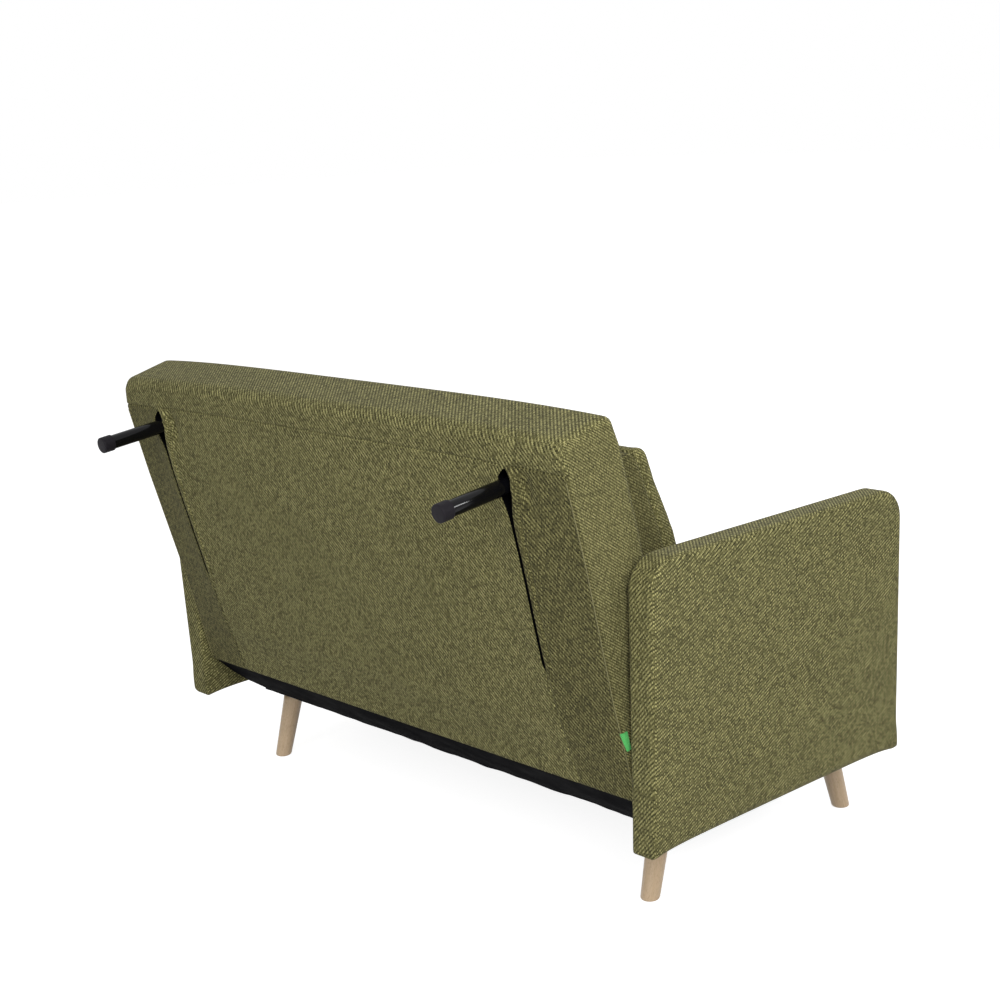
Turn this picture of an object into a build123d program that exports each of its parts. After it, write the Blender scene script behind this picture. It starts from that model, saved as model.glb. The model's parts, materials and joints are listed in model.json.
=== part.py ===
"""Two-seat fold-out sofa bed: three hinged mattress sections between two upholstered arms."""

import os
from math import cos, radians, sin, tan

from build123d import *

os.makedirs("parts", exist_ok=True)

# Frame: +Z up, X along the width, the seat faces -Y, the origin is on the floor under the middle.
# All sizes are in millimetres.

# Mattress sections and their two fold lines
section = 127.5            # thickness of every section, so that they lie level as a bed
fold_z = 262.0             # height of both fold lines, the sleeping level
fold_y = 88.1              # fold line between the base section and the back
seat_reach = 584.2         # from that fold line to the one at the seat's front edge
front_y = fold_y - seat_reach
fold_gap = 0.75            # half of the crease that is left between two sections

# Back
back_lean = 14.0           # degrees from upright
back_length = 663.0
back_foot_half = 637.5     # half width at the foot of the back
back_head_half = 642.0     # half width at the head
back_crown = 6.0           # rise of the top edge between its corners
side_draw = 2.5            # how far the sides are drawn in between the corners

# Arms
arm_half = 691.0           # outer face of an arm at its lower edge
arm_thickness = 51.0
arm_depth = 677.0
arm_height = 512.0
arm_floor_gap = 160.0
arm_rear_y = 234.5
arm_flare = 2.0            # degrees that the arms lean outwards
arm_set_back = 7.0         # the upper edge stands this much further back
arm_corner = 70.0
arm_padding = 12.0

# Base box
base_bottom = fold_z - section
rail_height = 55.5
rail_thickness = 28.0
lining_thickness = 2.0
rail_half = 627.7          # outer face of the side rails
rail_bottom = base_bottom + lining_thickness
rail_top = rail_bottom + rail_height
front_face = front_y + fold_gap
rear_face = fold_y - fold_gap
cover_thickness = 4.0

# Wooden legs
foot_x = 552.0
rear_foot_y = 105.5
front_foot_y = -448.5
leg_foot_r = 17.5
leg_head_r = 21.5
leg_splay_x = 4.0
leg_splay_y = 38.0
leg_head_x = foot_x - leg_splay_x
leg_head_y = {"rear": rear_foot_y - leg_splay_y, "front": front_foot_y + leg_splay_y}
leg_plate = (66.0, 39.0)
plate_thickness = 2.5
leg_top = base_bottom - plate_thickness
leg_bolt_r = 4.0
leg_bolt_depth = 40.0      # how far the bolts reach into the legs
leg_bolt_rise = 20.0       # how far they reach into the base box

# Steel parts
strap = 3.5                # thickness of hinge plates and bail arms
eye_r = 9.0
pin_r = 4.0
running_gap = 0.05
tube = 25.0                # square tube of the two hidden frames
tube_wall = 1.5
strap_inner = 631.5        # inner face of the moving hinge plates

# Fold-out support legs of the back
leg_x = 507.0
leg_tilt = 7.0             # degrees above square to the back
leg_u = 568.6              # pivot height along the back
leg_depth = 50.0           # pivot depth behind the rear face
leg_r = 14.0
leg_reach = 204.0          # from pivot to the end of the cap: stands on the floor with the back laid down
leg_tail = 16.0
cap_r = 16.0
cap_length = 24.0
slit_top = 606.0
slit_bottom = 224.0
slit_mouth = 34.0
slit_lip = 30.0            # depth of the narrow mouth of the slit
slit_depth = 76.0

# Upper seat section and its fold-down foot bail
seat_end_y = -19.5
seat_half = 631.5
bail_from_end = 200.0
bail_reach = 220.0
bail_r = 11.0
sleeve_r = 13.5
sleeve_length = 60.0
sleeve_x = 470.0

# Loose back cushions
cushion_foot = 72.0        # thickness at the lower edge
cushion_crown = 116.0      # thickness at the crown
cushion_head = 84.0        # thickness at the upper edge
cushion_length = 560.0
cushion_outer = 619.0
cushion_inner = 4.0
cushion_draw = 9.0

lean = radians(back_lean)
along = Vector(0, sin(lean), cos(lean))
forward = Vector(0, -cos(lean), sin(lean))
fold_point = Vector(0, fold_y, fold_z)

# On back_side x runs up the back from the fold line and y runs forward from its front face.
back_side = Plane(origin=fold_point, x_dir=along, z_dir=(1, 0, 0))
back_face = Plane(origin=fold_point, x_dir=(1, 0, 0), z_dir=forward)
side_view = Plane.YZ


def save(part, name):
    part.label = name
    export_step(part, f"parts/{name}.step")


def block(low, high, mode=Mode.ADD):
    sizes = [b - a for a, b in zip(low, high)]
    middle = [(a + b) / 2 for a, b in zip(low, high)]
    with Locations(tuple(middle)):
        Box(*sizes, mode=mode)


def bar(plane, x_span, a_span, b_span, mode=Mode.ADD):
    # A straight bar along X, with its section given in the plane's own two directions.
    with BuildSketch(plane.offset(x_span[0])) as cut:
        with Locations(((a_span[0] + a_span[1]) / 2, (b_span[0] + b_span[1]) / 2)):
            Rectangle(a_span[1] - a_span[0], b_span[1] - b_span[0])
    extrude(cut.sketch, amount=x_span[1] - x_span[0], mode=mode)


def disc(plane, x_span, centre, radius, mode=Mode.ADD):
    # A round bar along X through a point of the plane.
    with BuildSketch(plane.offset(x_span[0])) as cut:
        with Locations(centre):
            Circle(radius)
    extrude(cut.sketch, amount=x_span[1] - x_span[0], mode=mode)


def on_side(side, inner, outer):
    # The X span between two distances from the middle, on the left (+1) or the right (-1).
    return (inner, outer) if side > 0 else (-outer, -inner)


def shrink(span, by):
    return (span[0] + by, span[1] - by)


sides = {"left": 1, "right": -1}
leg_spots = [(s * leg_head_x, y) for s in sides.values() for y in leg_head_y.values()]


def leg_bolt_rods(low, high, mode=Mode.ADD):
    # The four bolts of the legs, or their holes, between two heights.
    with BuildSketch(Plane.XY.offset(low)) as rods:
        with Locations(*leg_spots):
            Circle(leg_bolt_r)
    extrude(rods.sketch, amount=high - low, mode=mode)


# Where the frame tubes of the back lie, measured on back_side
post_q = (-79.5, -79.5 + tube)
post_x = (529.0, 529.0 + tube)
post_u = (30.0, 635.0)
cross_u = {"foot": (30.0, 55.0), "middle": (188.0, 213.0), "head": (610.0, 635.0)}
leg_q = leg_depth - section
bracket_x = (485.0, 529.0)
bracket_plate = 3.0
web_q = (leg_q + 22, leg_q + 25)

# Where the frame tubes of the upper seat section lie
frame_z = fold_z + section / 2
frame_z_span = (frame_z - tube / 2, frame_z + tube / 2)
seat_tube_x = (seat_half - tube, seat_half)
seat_tube_y = (front_y + 20, seat_end_y - 14)
seat_cross_y = [seat_tube_y[0], (seat_tube_y[0] + seat_tube_y[1] - tube) / 2, seat_tube_y[1] - tube]
bail_y = seat_end_y - bail_from_end

# Base rails: a wooden ring under the base section
rear_rail_y = (rear_face - lining_thickness - rail_thickness, rear_face - lining_thickness)
front_rail_y = (front_face + cover_thickness, front_face + cover_thickness + rail_thickness)
leg_bolt_top = base_bottom + leg_bolt_rise
with BuildPart() as base_rear_rail:
    block((-rail_half, rear_rail_y[0], rail_bottom), (rail_half, rear_rail_y[1], rail_top))
    leg_bolt_rods(rail_bottom, leg_bolt_top, Mode.SUBTRACT)
save(base_rear_rail.part, "base_rear_rail")

with BuildPart() as base_front_rail:
    block((-rail_half, front_rail_y[0], rail_bottom), (rail_half, front_rail_y[1], rail_top))
save(base_front_rail.part, "base_front_rail")

# Bolts join each arm to its side rail, and screws hold the hinge plates
bolt_r = 4.0
bolt_z = arm_floor_gap + 16
bolt_y = [fold_y - 190, front_y + 190]
screw_r = 2.5
screw_depth = 20.0
plate_y_near = 35.0
plate_y_far = 90.0
plate_z_span = (142.0, 188.0)
screw_z = 165.0
screw_offsets = [47.0, 78.0]
screw_y = [fold_y - d for d in screw_offsets] + [front_y + d for d in screw_offsets]
for name, side in sides.items():
    span = on_side(side, rail_half - rail_thickness, rail_half)
    with BuildPart() as side_rail:
        block((span[0], front_rail_y[1], rail_bottom), (span[1], rear_rail_y[0], rail_top))
        for y in bolt_y:
            disc(side_view, span, (y, bolt_z), bolt_r + running_gap, Mode.SUBTRACT)
        for y in screw_y:
            hole = on_side(side, rail_half - screw_depth, rail_half)
            disc(side_view, hole, (y, screw_z), screw_r, Mode.SUBTRACT)
    save(side_rail.part, f"base_{name}_rail")

# Ledgers carry the slats level with the rails' upper edges
slat_thickness = 12.0
ledger = 20.0
ledger_top = rail_top - slat_thickness
inner_x = rail_half - rail_thickness
with BuildPart() as base_ledgers:
    low = ledger_top - ledger
    block((-inner_x + 50, front_rail_y[1], low), (inner_x - 50, front_rail_y[1] + ledger, ledger_top))
    block((-inner_x + 50, rear_rail_y[0] - ledger, low), (inner_x - 50, rear_rail_y[0], ledger_top))
save(base_ledgers.part, "base_ledgers")

slat_count = 9
slat_width = 62.0
slat_pitch = (2 * inner_x - 110 - slat_width) / (slat_count - 1)
slat_length = rear_rail_y[0] - front_rail_y[1]
with BuildPart() as base_slats:
    with BuildSketch(Plane.XY.offset(ledger_top)):
        with Locations((0, (front_rail_y[1] + rear_rail_y[0]) / 2)):
            with GridLocations(slat_pitch, 1, slat_count, 1):
                Rectangle(slat_width, slat_length)
    extrude(amount=slat_thickness)
save(base_slats.part, "base_slats")

# Corner blocks stiffen the box, and the front pair takes the bolts of the front legs
corner = 85.0
with BuildPart() as base_corner_blocks:
    for side in sides.values():
        for y in (rear_rail_y[0] - corner, front_rail_y[1]):
            span = on_side(side, inner_x - corner, inner_x)
            block((span[0], y, rail_bottom), (span[1], y + corner, ledger_top - ledger))
    leg_bolt_rods(rail_bottom, leg_bolt_top, Mode.SUBTRACT)
save(base_corner_blocks.part, "base_corner_blocks")

# Black lining under the base box and up its rear face
with BuildPart() as base_lining:
    block((-rail_half, front_face, base_bottom), (rail_half, rear_face, rail_bottom))
    block((-rail_half, rear_face - lining_thickness, rail_bottom), (rail_half, rear_face, rail_top))
    leg_bolt_rods(base_bottom, rail_bottom, Mode.SUBTRACT)
save(base_lining.part, "base_lining")

# Upholstered panel on the front of the base box
with BuildPart() as base_front_cover:
    block((-rail_half, front_face, rail_bottom), (rail_half, front_face + cover_thickness, rail_top))
    fillet(base_front_cover.edges().filter_by(Axis.Z).group_by(Axis.Y)[0], 3)
save(base_front_cover.part, "base_front_cover")

# Lower seat section: a flat pad with rounded long edges and drawn-in ends
lower_half = 627.2
overlap = 1.0              # by which a cutting outline passes the form that it trims


def drawn_in_plan(height, half, y_span, draw):
    # A rectangle seen from above whose two ends are hollowed between their corners.
    front, rear = y_span[0] - overlap, y_span[1] + overlap
    middle_y = (front + rear) / 2
    with BuildSketch(Plane.XY.offset(height)) as plan:
        with BuildLine():
            Line((-half, front), (half, front))
            ThreePointArc((half, front), (half - draw, middle_y), (half, rear))
            Line((half, rear), (-half, rear))
            ThreePointArc((-half, rear), (-half + draw, middle_y), (-half, front))
        make_face()
    return plan.sketch


with BuildPart() as lower_seat_pad:
    with BuildSketch(side_view.offset(-lower_half - overlap)) as lower_profile:
        with Locations(((front_face + rear_face) / 2, (rail_top + fold_z - fold_gap) / 2)):
            Rectangle(rear_face - front_face, fold_z - fold_gap - rail_top)
        fillet(lower_profile.vertices().group_by(Axis.Y)[-1], 14)
    extrude(amount=2 * lower_half + 2 * overlap)
    lower_plan = drawn_in_plan(rail_top - overlap, lower_half, (front_face, rear_face), side_draw)
    extrude(lower_plan, amount=section, mode=Mode.INTERSECT)
save(lower_seat_pad.part, "lower_seat_pad")

# Tapered legs: turned wood, splayed outwards and lengthways, on steel plates
leg_spare = 15.0           # of each cone, cut off level at the floor and under the plate
for name, side in sides.items():
    for end in ("front", "rear"):
        foot_y = rear_foot_y if end == "rear" else front_foot_y
        foot = Vector(side * foot_x, foot_y, 0)
        run = Vector(side * leg_head_x, leg_head_y[end], leg_top) - foot
        taper = (leg_head_r - leg_foot_r) / run.length
        with BuildPart() as leg:
            with Locations(Plane(foot - run.normalized() * leg_spare, z_dir=run)):
                radii = (leg_foot_r - taper * leg_spare, leg_head_r + taper * leg_spare)
                Cone(*radii, run.length + 2 * leg_spare, align=(Align.CENTER, Align.CENTER, Align.MIN))
            with Locations((foot.X, foot.Y, leg_top / 2)):
                Box(300, 300, leg_top, mode=Mode.INTERSECT)
            chamfer(leg.edges().group_by(Axis.Z)[0], 3)
            leg_bolt_rods(leg_top - leg_bolt_depth, leg_top, Mode.SUBTRACT)
        save(leg.part, f"leg_{end}_{name}")

with BuildPart() as leg_plates:
    with BuildSketch(Plane.XY.offset(leg_top)):
        with Locations(*leg_spots):
            Rectangle(*leg_plate)
            Circle(leg_bolt_r, mode=Mode.SUBTRACT)
    extrude(amount=plate_thickness)
save(leg_plates.part, "leg_plates")

with BuildPart() as leg_bolts:
    leg_bolt_rods(leg_top - leg_bolt_depth, leg_bolt_top)
save(leg_bolts.part, "leg_bolts")


# Arms: a board with a padded cover drawn over it, open along the lower edge
def arm_plane(side):
    tilt = radians(arm_flare)
    start = (side * (arm_half - arm_thickness), 0, arm_floor_gap)
    return Plane(origin=start, x_dir=(0, side, 0), z_dir=(side * cos(tilt), 0, -sin(tilt)))


def arm_outline(plane, side, inset, foot, foot_r):
    rear = arm_rear_y - inset
    front = arm_rear_y - arm_depth + inset
    top = arm_height - inset
    slope = arm_set_back / arm_height
    with BuildSketch(plane) as outline:
        with BuildLine():
            Polyline(
                (side * (rear + slope * foot), foot),
                (side * (rear + slope * top), top),
                (side * (front + slope * top), top),
                (side * (front + slope * foot), foot),
                close=True,
            )
        make_face()
        fillet(outline.vertices().group_by(Axis.Y)[-1], arm_corner - inset)
        if foot_r:
            fillet(outline.vertices().group_by(Axis.Y)[0], foot_r)
    return outline.sketch


arm_edge_r = 12.0
board_inset = 14.0
board_span = (arm_padding, arm_thickness - arm_padding)
for name, side in sides.items():
    plane = arm_plane(side)
    with BuildPart() as arm_cover:
        extrude(arm_outline(plane, side, 0, 0, 14), amount=arm_thickness)
        faces = arm_cover.faces().sort_by(Axis.X)
        fillet([*faces[0].edges(), *faces[-1].edges()], arm_edge_r)
        hollow = arm_outline(plane.offset(board_span[0]), side, board_inset, -20, 0)
        extrude(hollow, amount=board_span[1] - board_span[0], mode=Mode.SUBTRACT)
        for y in bolt_y:
            span = on_side(side, rail_half, arm_half - arm_thickness / 2)
            disc(side_view, span, (y, bolt_z), bolt_r + 1, Mode.SUBTRACT)
    save(arm_cover.part, f"arm_cover_{name}")
    with BuildPart() as arm_board:
        board = arm_outline(plane.offset(board_span[0]), side, board_inset, 2, 0)
        extrude(board, amount=board_span[1] - board_span[0])
        for y in bolt_y:
            span = on_side(side, rail_half, arm_half + 20)
            disc(side_view, span, (y, bolt_z), bolt_r + running_gap, Mode.SUBTRACT)
    save(arm_board.part, f"arm_board_{name}")

# Wedge spacers fill the gap between side rail and leaning arm around each bolt
spacer_z = (arm_floor_gap + 2, rail_top)
spacer_width = 60.0


def arm_inner_x(z):
    return arm_half - arm_thickness + (z - arm_floor_gap) * tan(radians(arm_flare))


with BuildPart() as arm_spacers:
    for side in sides.values():
        for y in bolt_y:
            with BuildSketch(Plane.XZ.offset(-y - spacer_width / 2)):
                with BuildLine():
                    Polyline(
                        (side * rail_half, spacer_z[0]),
                        (side * arm_inner_x(spacer_z[0]), spacer_z[0]),
                        (side * arm_inner_x(spacer_z[1]), spacer_z[1]),
                        (side * rail_half, spacer_z[1]),
                        close=True,
                    )
                make_face()
            extrude(amount=spacer_width)
            span = on_side(side, rail_half, arm_half)
            disc(side_view, span, (y, bolt_z), bolt_r + running_gap, Mode.SUBTRACT)
save(arm_spacers.part, "arm_spacers")

bolt_head_r = 8.0
bolt_head = 5.0
with BuildPart() as arm_bolts:
    for side in sides.values():
        for y in bolt_y:
            disc(side_view, on_side(side, inner_x, arm_half - 20), (y, bolt_z), bolt_r)
            disc(side_view, on_side(side, inner_x - bolt_head, inner_x), (y, bolt_z), bolt_head_r)
save(arm_bolts.part, "arm_bolts")


# Hinge plates: one pair fixed to the base at each fold line, one pair on each moving section
def hull_plate(plane, x_span, eye, foot_a, foot_b, hole_r):
    with BuildSketch(plane.offset(x_span[0])) as plate:
        with Locations(eye):
            Circle(eye_r)
        with Locations(((foot_a[0] + foot_a[1]) / 2, (foot_b[0] + foot_b[1]) / 2)):
            Rectangle(foot_a[1] - foot_a[0], foot_b[1] - foot_b[0])
        make_hull()
        with Locations(eye):
            Circle(hole_r, mode=Mode.SUBTRACT)
    extrude(plate.sketch, amount=x_span[1] - x_span[0])


fold_eyes = {"back": (fold_y, -1), "seat": (front_y, 1)}
for fold, (eye_y, turn) in fold_eyes.items():
    reach = sorted((eye_y + turn * plate_y_near, eye_y + turn * plate_y_far))
    with BuildPart() as base_plates:
        for side in sides.values():
            span = on_side(side, rail_half, rail_half + strap)
            hull_plate(side_view, span, (eye_y, fold_z), reach, plate_z_span, pin_r)
            for d in screw_offsets:
                disc(side_view, span, (eye_y + turn * d, screw_z), screw_r, Mode.SUBTRACT)
    save(base_plates.part, f"{fold}_hinge_base_plates")
    with BuildPart() as pins:
        for side in sides.values():
            shank = on_side(side, rail_half, strap_inner + strap + 0.3)
            head = on_side(side, strap_inner + strap + 0.3, strap_inner + strap + 2.8)
            disc(side_view, shank, (eye_y, fold_z), pin_r)
            disc(side_view, head, (eye_y, fold_z), eye_r - 2)
    save(pins.part, f"{fold}_hinge_pins")

screw_head_r = 5.0
with BuildPart() as hinge_screws:
    for side in sides.values():
        for y in screw_y:
            shank = on_side(side, rail_half - screw_depth, rail_half + strap)
            head = on_side(side, rail_half + strap, rail_half + strap + 2)
            disc(side_view, shank, (y, screw_z), screw_r)
            disc(side_view, head, (y, screw_z), screw_head_r)
save(hinge_screws.part, "hinge_screws")

# Back: an upholstered slab with two slits in its rear for the fold-out legs
pocket_half = 627.2        # the hinge plates lie in pockets outside this half width
pocket_u = (-20.0, 68.0)
pocket_q = (-93.0, 10.0)
with BuildPart() as back_pad:
    with BuildSketch(back_side.offset(-back_head_half - 1)) as back_profile:
        with Locations(((fold_gap + back_length) / 2, (-section - 1) / 2)):
            Rectangle(back_length - fold_gap, section - 1)
        top_corners = back_profile.vertices().group_by(Axis.X)[-1].sort_by(Axis.Y)
        fillet(top_corners[0], 28)
        fillet(back_profile.vertices().group_by(Axis.X)[-1].sort_by(Axis.Y)[-1], 20)
        fillet(back_profile.vertices().group_by(Axis.X)[0].sort_by(Axis.Y)[0], 8)
    extrude(amount=2 * back_head_half + 2)
    head_u = back_length - back_crown
    with BuildSketch(back_face.offset(-section)) as back_outline:
        with BuildLine():
            foot_u = fold_gap - overlap
            Line((-back_foot_half, foot_u), (back_foot_half, foot_u))
            middle_half = (back_foot_half + back_head_half) / 2 - side_draw
            ThreePointArc((back_foot_half, foot_u), (middle_half, head_u / 2), (back_head_half, head_u))
            ThreePointArc((back_head_half, head_u), (0, back_length), (-back_head_half, head_u))
            ThreePointArc((-back_head_half, head_u), (-middle_half, head_u / 2), (-back_foot_half, foot_u))
        make_face()
        fillet(back_outline.vertices().group_by(Axis.Y)[-1], 22)
    extrude(amount=section, mode=Mode.INTERSECT)
    for side in sides.values():
        ends = on_side(side, pocket_half, back_head_half + 10)
        bar(back_side, ends, pocket_u, pocket_q, Mode.SUBTRACT)
        mouth = (side * leg_x - slit_mouth / 2, side * leg_x + slit_mouth / 2)
        slit_u = (slit_bottom, slit_top)
        bar(back_side, mouth, slit_u, (-section - 5, slit_lip - section), Mode.SUBTRACT)
        hollow = on_side(side, bracket_x[0] - 4, bracket_x[1])
        bar(back_side, hollow, slit_u, (slit_lip - section, slit_depth - section), Mode.SUBTRACT)
        bar(back_side, on_side(side, *post_x), post_u, post_q, Mode.SUBTRACT)
    bar(back_side, (-strap_inner, strap_inner), cross_u["foot"], post_q, Mode.SUBTRACT)
    for level in ("middle", "head"):
        bar(back_side, (-post_x[0], post_x[0]), cross_u[level], post_q, Mode.SUBTRACT)
save(back_pad.part, "back_pad")

# Steel frame inside the back: two posts and three cross tubes
with BuildPart() as back_posts:
    for side in sides.values():
        span = on_side(side, *post_x)
        clear_u = (cross_u["foot"][1], post_u[1])
        bar(back_side, span, clear_u, post_q)
        bar(back_side, shrink(span, tube_wall), clear_u, shrink(post_q, tube_wall), Mode.SUBTRACT)
save(back_posts.part, "back_posts")

with BuildPart() as back_cross_tubes:
    for level, span_u in cross_u.items():
        half = strap_inner if level == "foot" else post_x[0]
        bar(back_side, (-half, half), span_u, post_q)
        inside_u = shrink(span_u, tube_wall)
        bar(back_side, (-half, half), inside_u, shrink(post_q, tube_wall), Mode.SUBTRACT)
save(back_cross_tubes.part, "back_cross_tubes")

with BuildPart() as back_hinge_plates:
    for side in sides.values():
        span = on_side(side, strap_inner, strap_inner + strap)
        hull_plate(back_side, span, (0, 0), (22, 63), (-88, -46), pin_r + running_gap)
save(back_hinge_plates.part, "back_hinge_plates")

# Fold-out support legs: bracket, pin and washers on the frame, tube and cap swing on the pin
axis_tilt = radians(leg_tilt)
leg_axis = along * sin(axis_tilt) - forward * cos(axis_tilt)
washer_r = 9.0
for name, side in sides.items():
    pivot = (leg_u, leg_q)
    with BuildPart() as bracket:
        for inner in (bracket_x[0], bracket_x[1] - bracket_plate):
            cheek = on_side(side, inner, inner + bracket_plate)
            disc(back_side, cheek, pivot, leg_r)
            bar(back_side, cheek, (leg_u - leg_r, leg_u + leg_r), (leg_q, web_q[1]))
            disc(back_side, cheek, pivot, pin_r, Mode.SUBTRACT)
        bar(back_side, on_side(side, *bracket_x), (leg_u - leg_r, leg_u + leg_r), web_q)
    save(bracket.part, f"head_leg_bracket_{name}")
    with BuildPart() as pivot_pin:
        disc(back_side, on_side(side, *bracket_x), pivot, pin_r)
        disc(back_side, on_side(side, bracket_x[0] - 3, bracket_x[0]), pivot, pin_r + 3)
    save(pivot_pin.part, f"head_leg_pin_{name}")
    with BuildPart() as washers:
        inner_washer = (bracket_x[0] + bracket_plate, leg_x - leg_r - 0.3)
        outer_washer = (leg_x + leg_r + 0.3, bracket_x[1] - bracket_plate)
        for span in (inner_washer, outer_washer):
            disc(back_side, on_side(side, *span), pivot, washer_r)
            disc(back_side, on_side(side, *span), pivot, pin_r, Mode.SUBTRACT)
    save(washers.part, f"head_leg_washers_{name}")
    pivot_point = fold_point + along * leg_u + forward * leg_q + Vector(side * leg_x, 0, 0)
    leg_plane = Plane(origin=pivot_point, x_dir=(1, 0, 0), z_dir=leg_axis)
    tube_end = leg_reach - 4
    with BuildPart() as leg_tube:
        with BuildSketch(leg_plane.offset(-leg_tail)):
            Circle(leg_r)
            Circle(leg_r - 2, mode=Mode.SUBTRACT)
        extrude(amount=tube_end + leg_tail)
        span = on_side(side, leg_x - leg_r - 1, leg_x + leg_r + 1)
        disc(back_side, span, pivot, pin_r + running_gap, Mode.SUBTRACT)
    save(leg_tube.part, f"head_leg_tube_{name}")
    with BuildPart() as cap:
        with BuildSketch(leg_plane.offset(leg_reach - cap_length)):
            Circle(cap_r)
        extrude(amount=cap_length)
        rim = cap.edges().filter_by(GeomType.CIRCLE).sort_by(Axis(pivot_point, leg_axis))
        fillet(rim[-1], 2)
        with BuildSketch(leg_plane.offset(leg_reach - cap_length)):
            Circle(leg_r)
        extrude(amount=cap_length - 4, mode=Mode.SUBTRACT)
    save(cap.part, f"head_leg_cap_{name}")

# Upper seat section: lies on the lower one and turns over its front edge to become the bed's foot
seat_low = fold_z + fold_gap
seat_high = fold_z + section
seat_crown = 5.0
with BuildPart() as upper_seat_pad:
    with BuildSketch(side_view.offset(-seat_half - overlap)) as seat_profile:
        with BuildLine():
            Line((front_face, seat_low), (seat_end_y, seat_low))
            Line((seat_end_y, seat_low), (seat_end_y, seat_high - seat_crown))
            ThreePointArc(
                (seat_end_y, seat_high - seat_crown),
                ((front_face + seat_end_y) / 2, seat_high),
                (front_face, seat_high - seat_crown),
            )
            Line((front_face, seat_high - seat_crown), (front_face, seat_low))
        make_face()
        fillet(seat_profile.vertices().group_by(Axis.Y)[-1], 20)
        fillet(seat_profile.vertices().group_by(Axis.Y)[0], 10)
    extrude(amount=2 * seat_half + 2 * overlap)
    seat_plan = drawn_in_plan(seat_low - overlap, seat_half, (front_face, seat_end_y), side_draw)
    extrude(seat_plan, amount=section + 2 * overlap, mode=Mode.INTERSECT)
    for side in sides.values():
        ends = on_side(side, seat_tube_x[0], seat_half + 5)
        bar(side_view, ends, seat_tube_y, frame_z_span, Mode.SUBTRACT)
        notch = on_side(side, pocket_half, seat_half + 5)
        bar(side_view, notch, (front_y, front_y + 16), (fold_z, fold_z + 34), Mode.SUBTRACT)
    for y in seat_cross_y:
        cross = (-seat_tube_x[0], seat_tube_x[0])
        bar(side_view, cross, (y, y + tube), frame_z_span, Mode.SUBTRACT)
save(upper_seat_pad.part, "upper_seat_pad")

bail_pin_r = 5.0
bail_eye = (bail_y, frame_z)
with BuildPart() as seat_side_tubes:
    for side in sides.values():
        span = on_side(side, *seat_tube_x)
        bar(side_view, span, seat_tube_y, frame_z_span)
        inside_z = shrink(frame_z_span, tube_wall)
        bar(side_view, shrink(span, tube_wall), seat_tube_y, inside_z, Mode.SUBTRACT)
        disc(side_view, span, bail_eye, bail_pin_r, Mode.SUBTRACT)
save(seat_side_tubes.part, "seat_side_tubes")

with BuildPart() as seat_cross_tubes:
    for y in seat_cross_y:
        span = (-seat_tube_x[0], seat_tube_x[0])
        bar(side_view, span, (y, y + tube), frame_z_span)
        inside_y = shrink((y, y + tube), tube_wall)
        bar(side_view, span, inside_y, shrink(frame_z_span, tube_wall), Mode.SUBTRACT)
save(seat_cross_tubes.part, "seat_cross_tubes")

with BuildPart() as seat_hinge_plates:
    for side in sides.values():
        span = on_side(side, strap_inner, strap_inner + strap)
        foot_y_span = (front_y + 30, front_y + 90)
        hull_plate(side_view, span, (front_y, fold_z), foot_y_span, frame_z_span, pin_r + running_gap)
save(seat_hinge_plates.part, "seat_hinge_plates")

# Foot bail: two flat arms and a cross tube, carried on pins through the seat frame's sides
with BuildPart() as bail_pins:
    for side in sides.values():
        disc(side_view, on_side(side, seat_tube_x[0], strap_inner + strap + 0.8), bail_eye, bail_pin_r)
        head = on_side(side, strap_inner + strap + 0.8, strap_inner + strap + 3.3)
        disc(side_view, head, bail_eye, eye_r)
save(bail_pins.part, "foot_bail_pins")

bail_tube = (bail_y + bail_reach, frame_z)
bail_inner = strap_inner + 0.5
with BuildPart() as bail_arms:
    for side in sides.values():
        span = on_side(side, bail_inner, bail_inner + strap)
        with BuildSketch(side_view.offset(span[0])):
            with Locations(bail_eye, bail_tube):
                Circle(bail_r)
            make_hull()
            with Locations(bail_eye):
                Circle(bail_pin_r + running_gap, mode=Mode.SUBTRACT)
        extrude(amount=strap)
save(bail_arms.part, "foot_bail_arms")

with BuildPart() as bail_cross:
    disc(side_view, (-bail_inner, bail_inner), bail_tube, bail_r)
    disc(side_view, (-bail_inner, bail_inner), bail_tube, bail_r - tube_wall, Mode.SUBTRACT)
save(bail_cross.part, "foot_bail_tube")

with BuildPart() as bail_sleeves:
    for side in sides.values():
        span = on_side(side, sleeve_x, sleeve_x + sleeve_length)
        disc(side_view, span, bail_tube, sleeve_r)
        disc(side_view, span, bail_tube, bail_r, Mode.SUBTRACT)
save(bail_sleeves.part, "foot_bail_sleeves")

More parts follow.
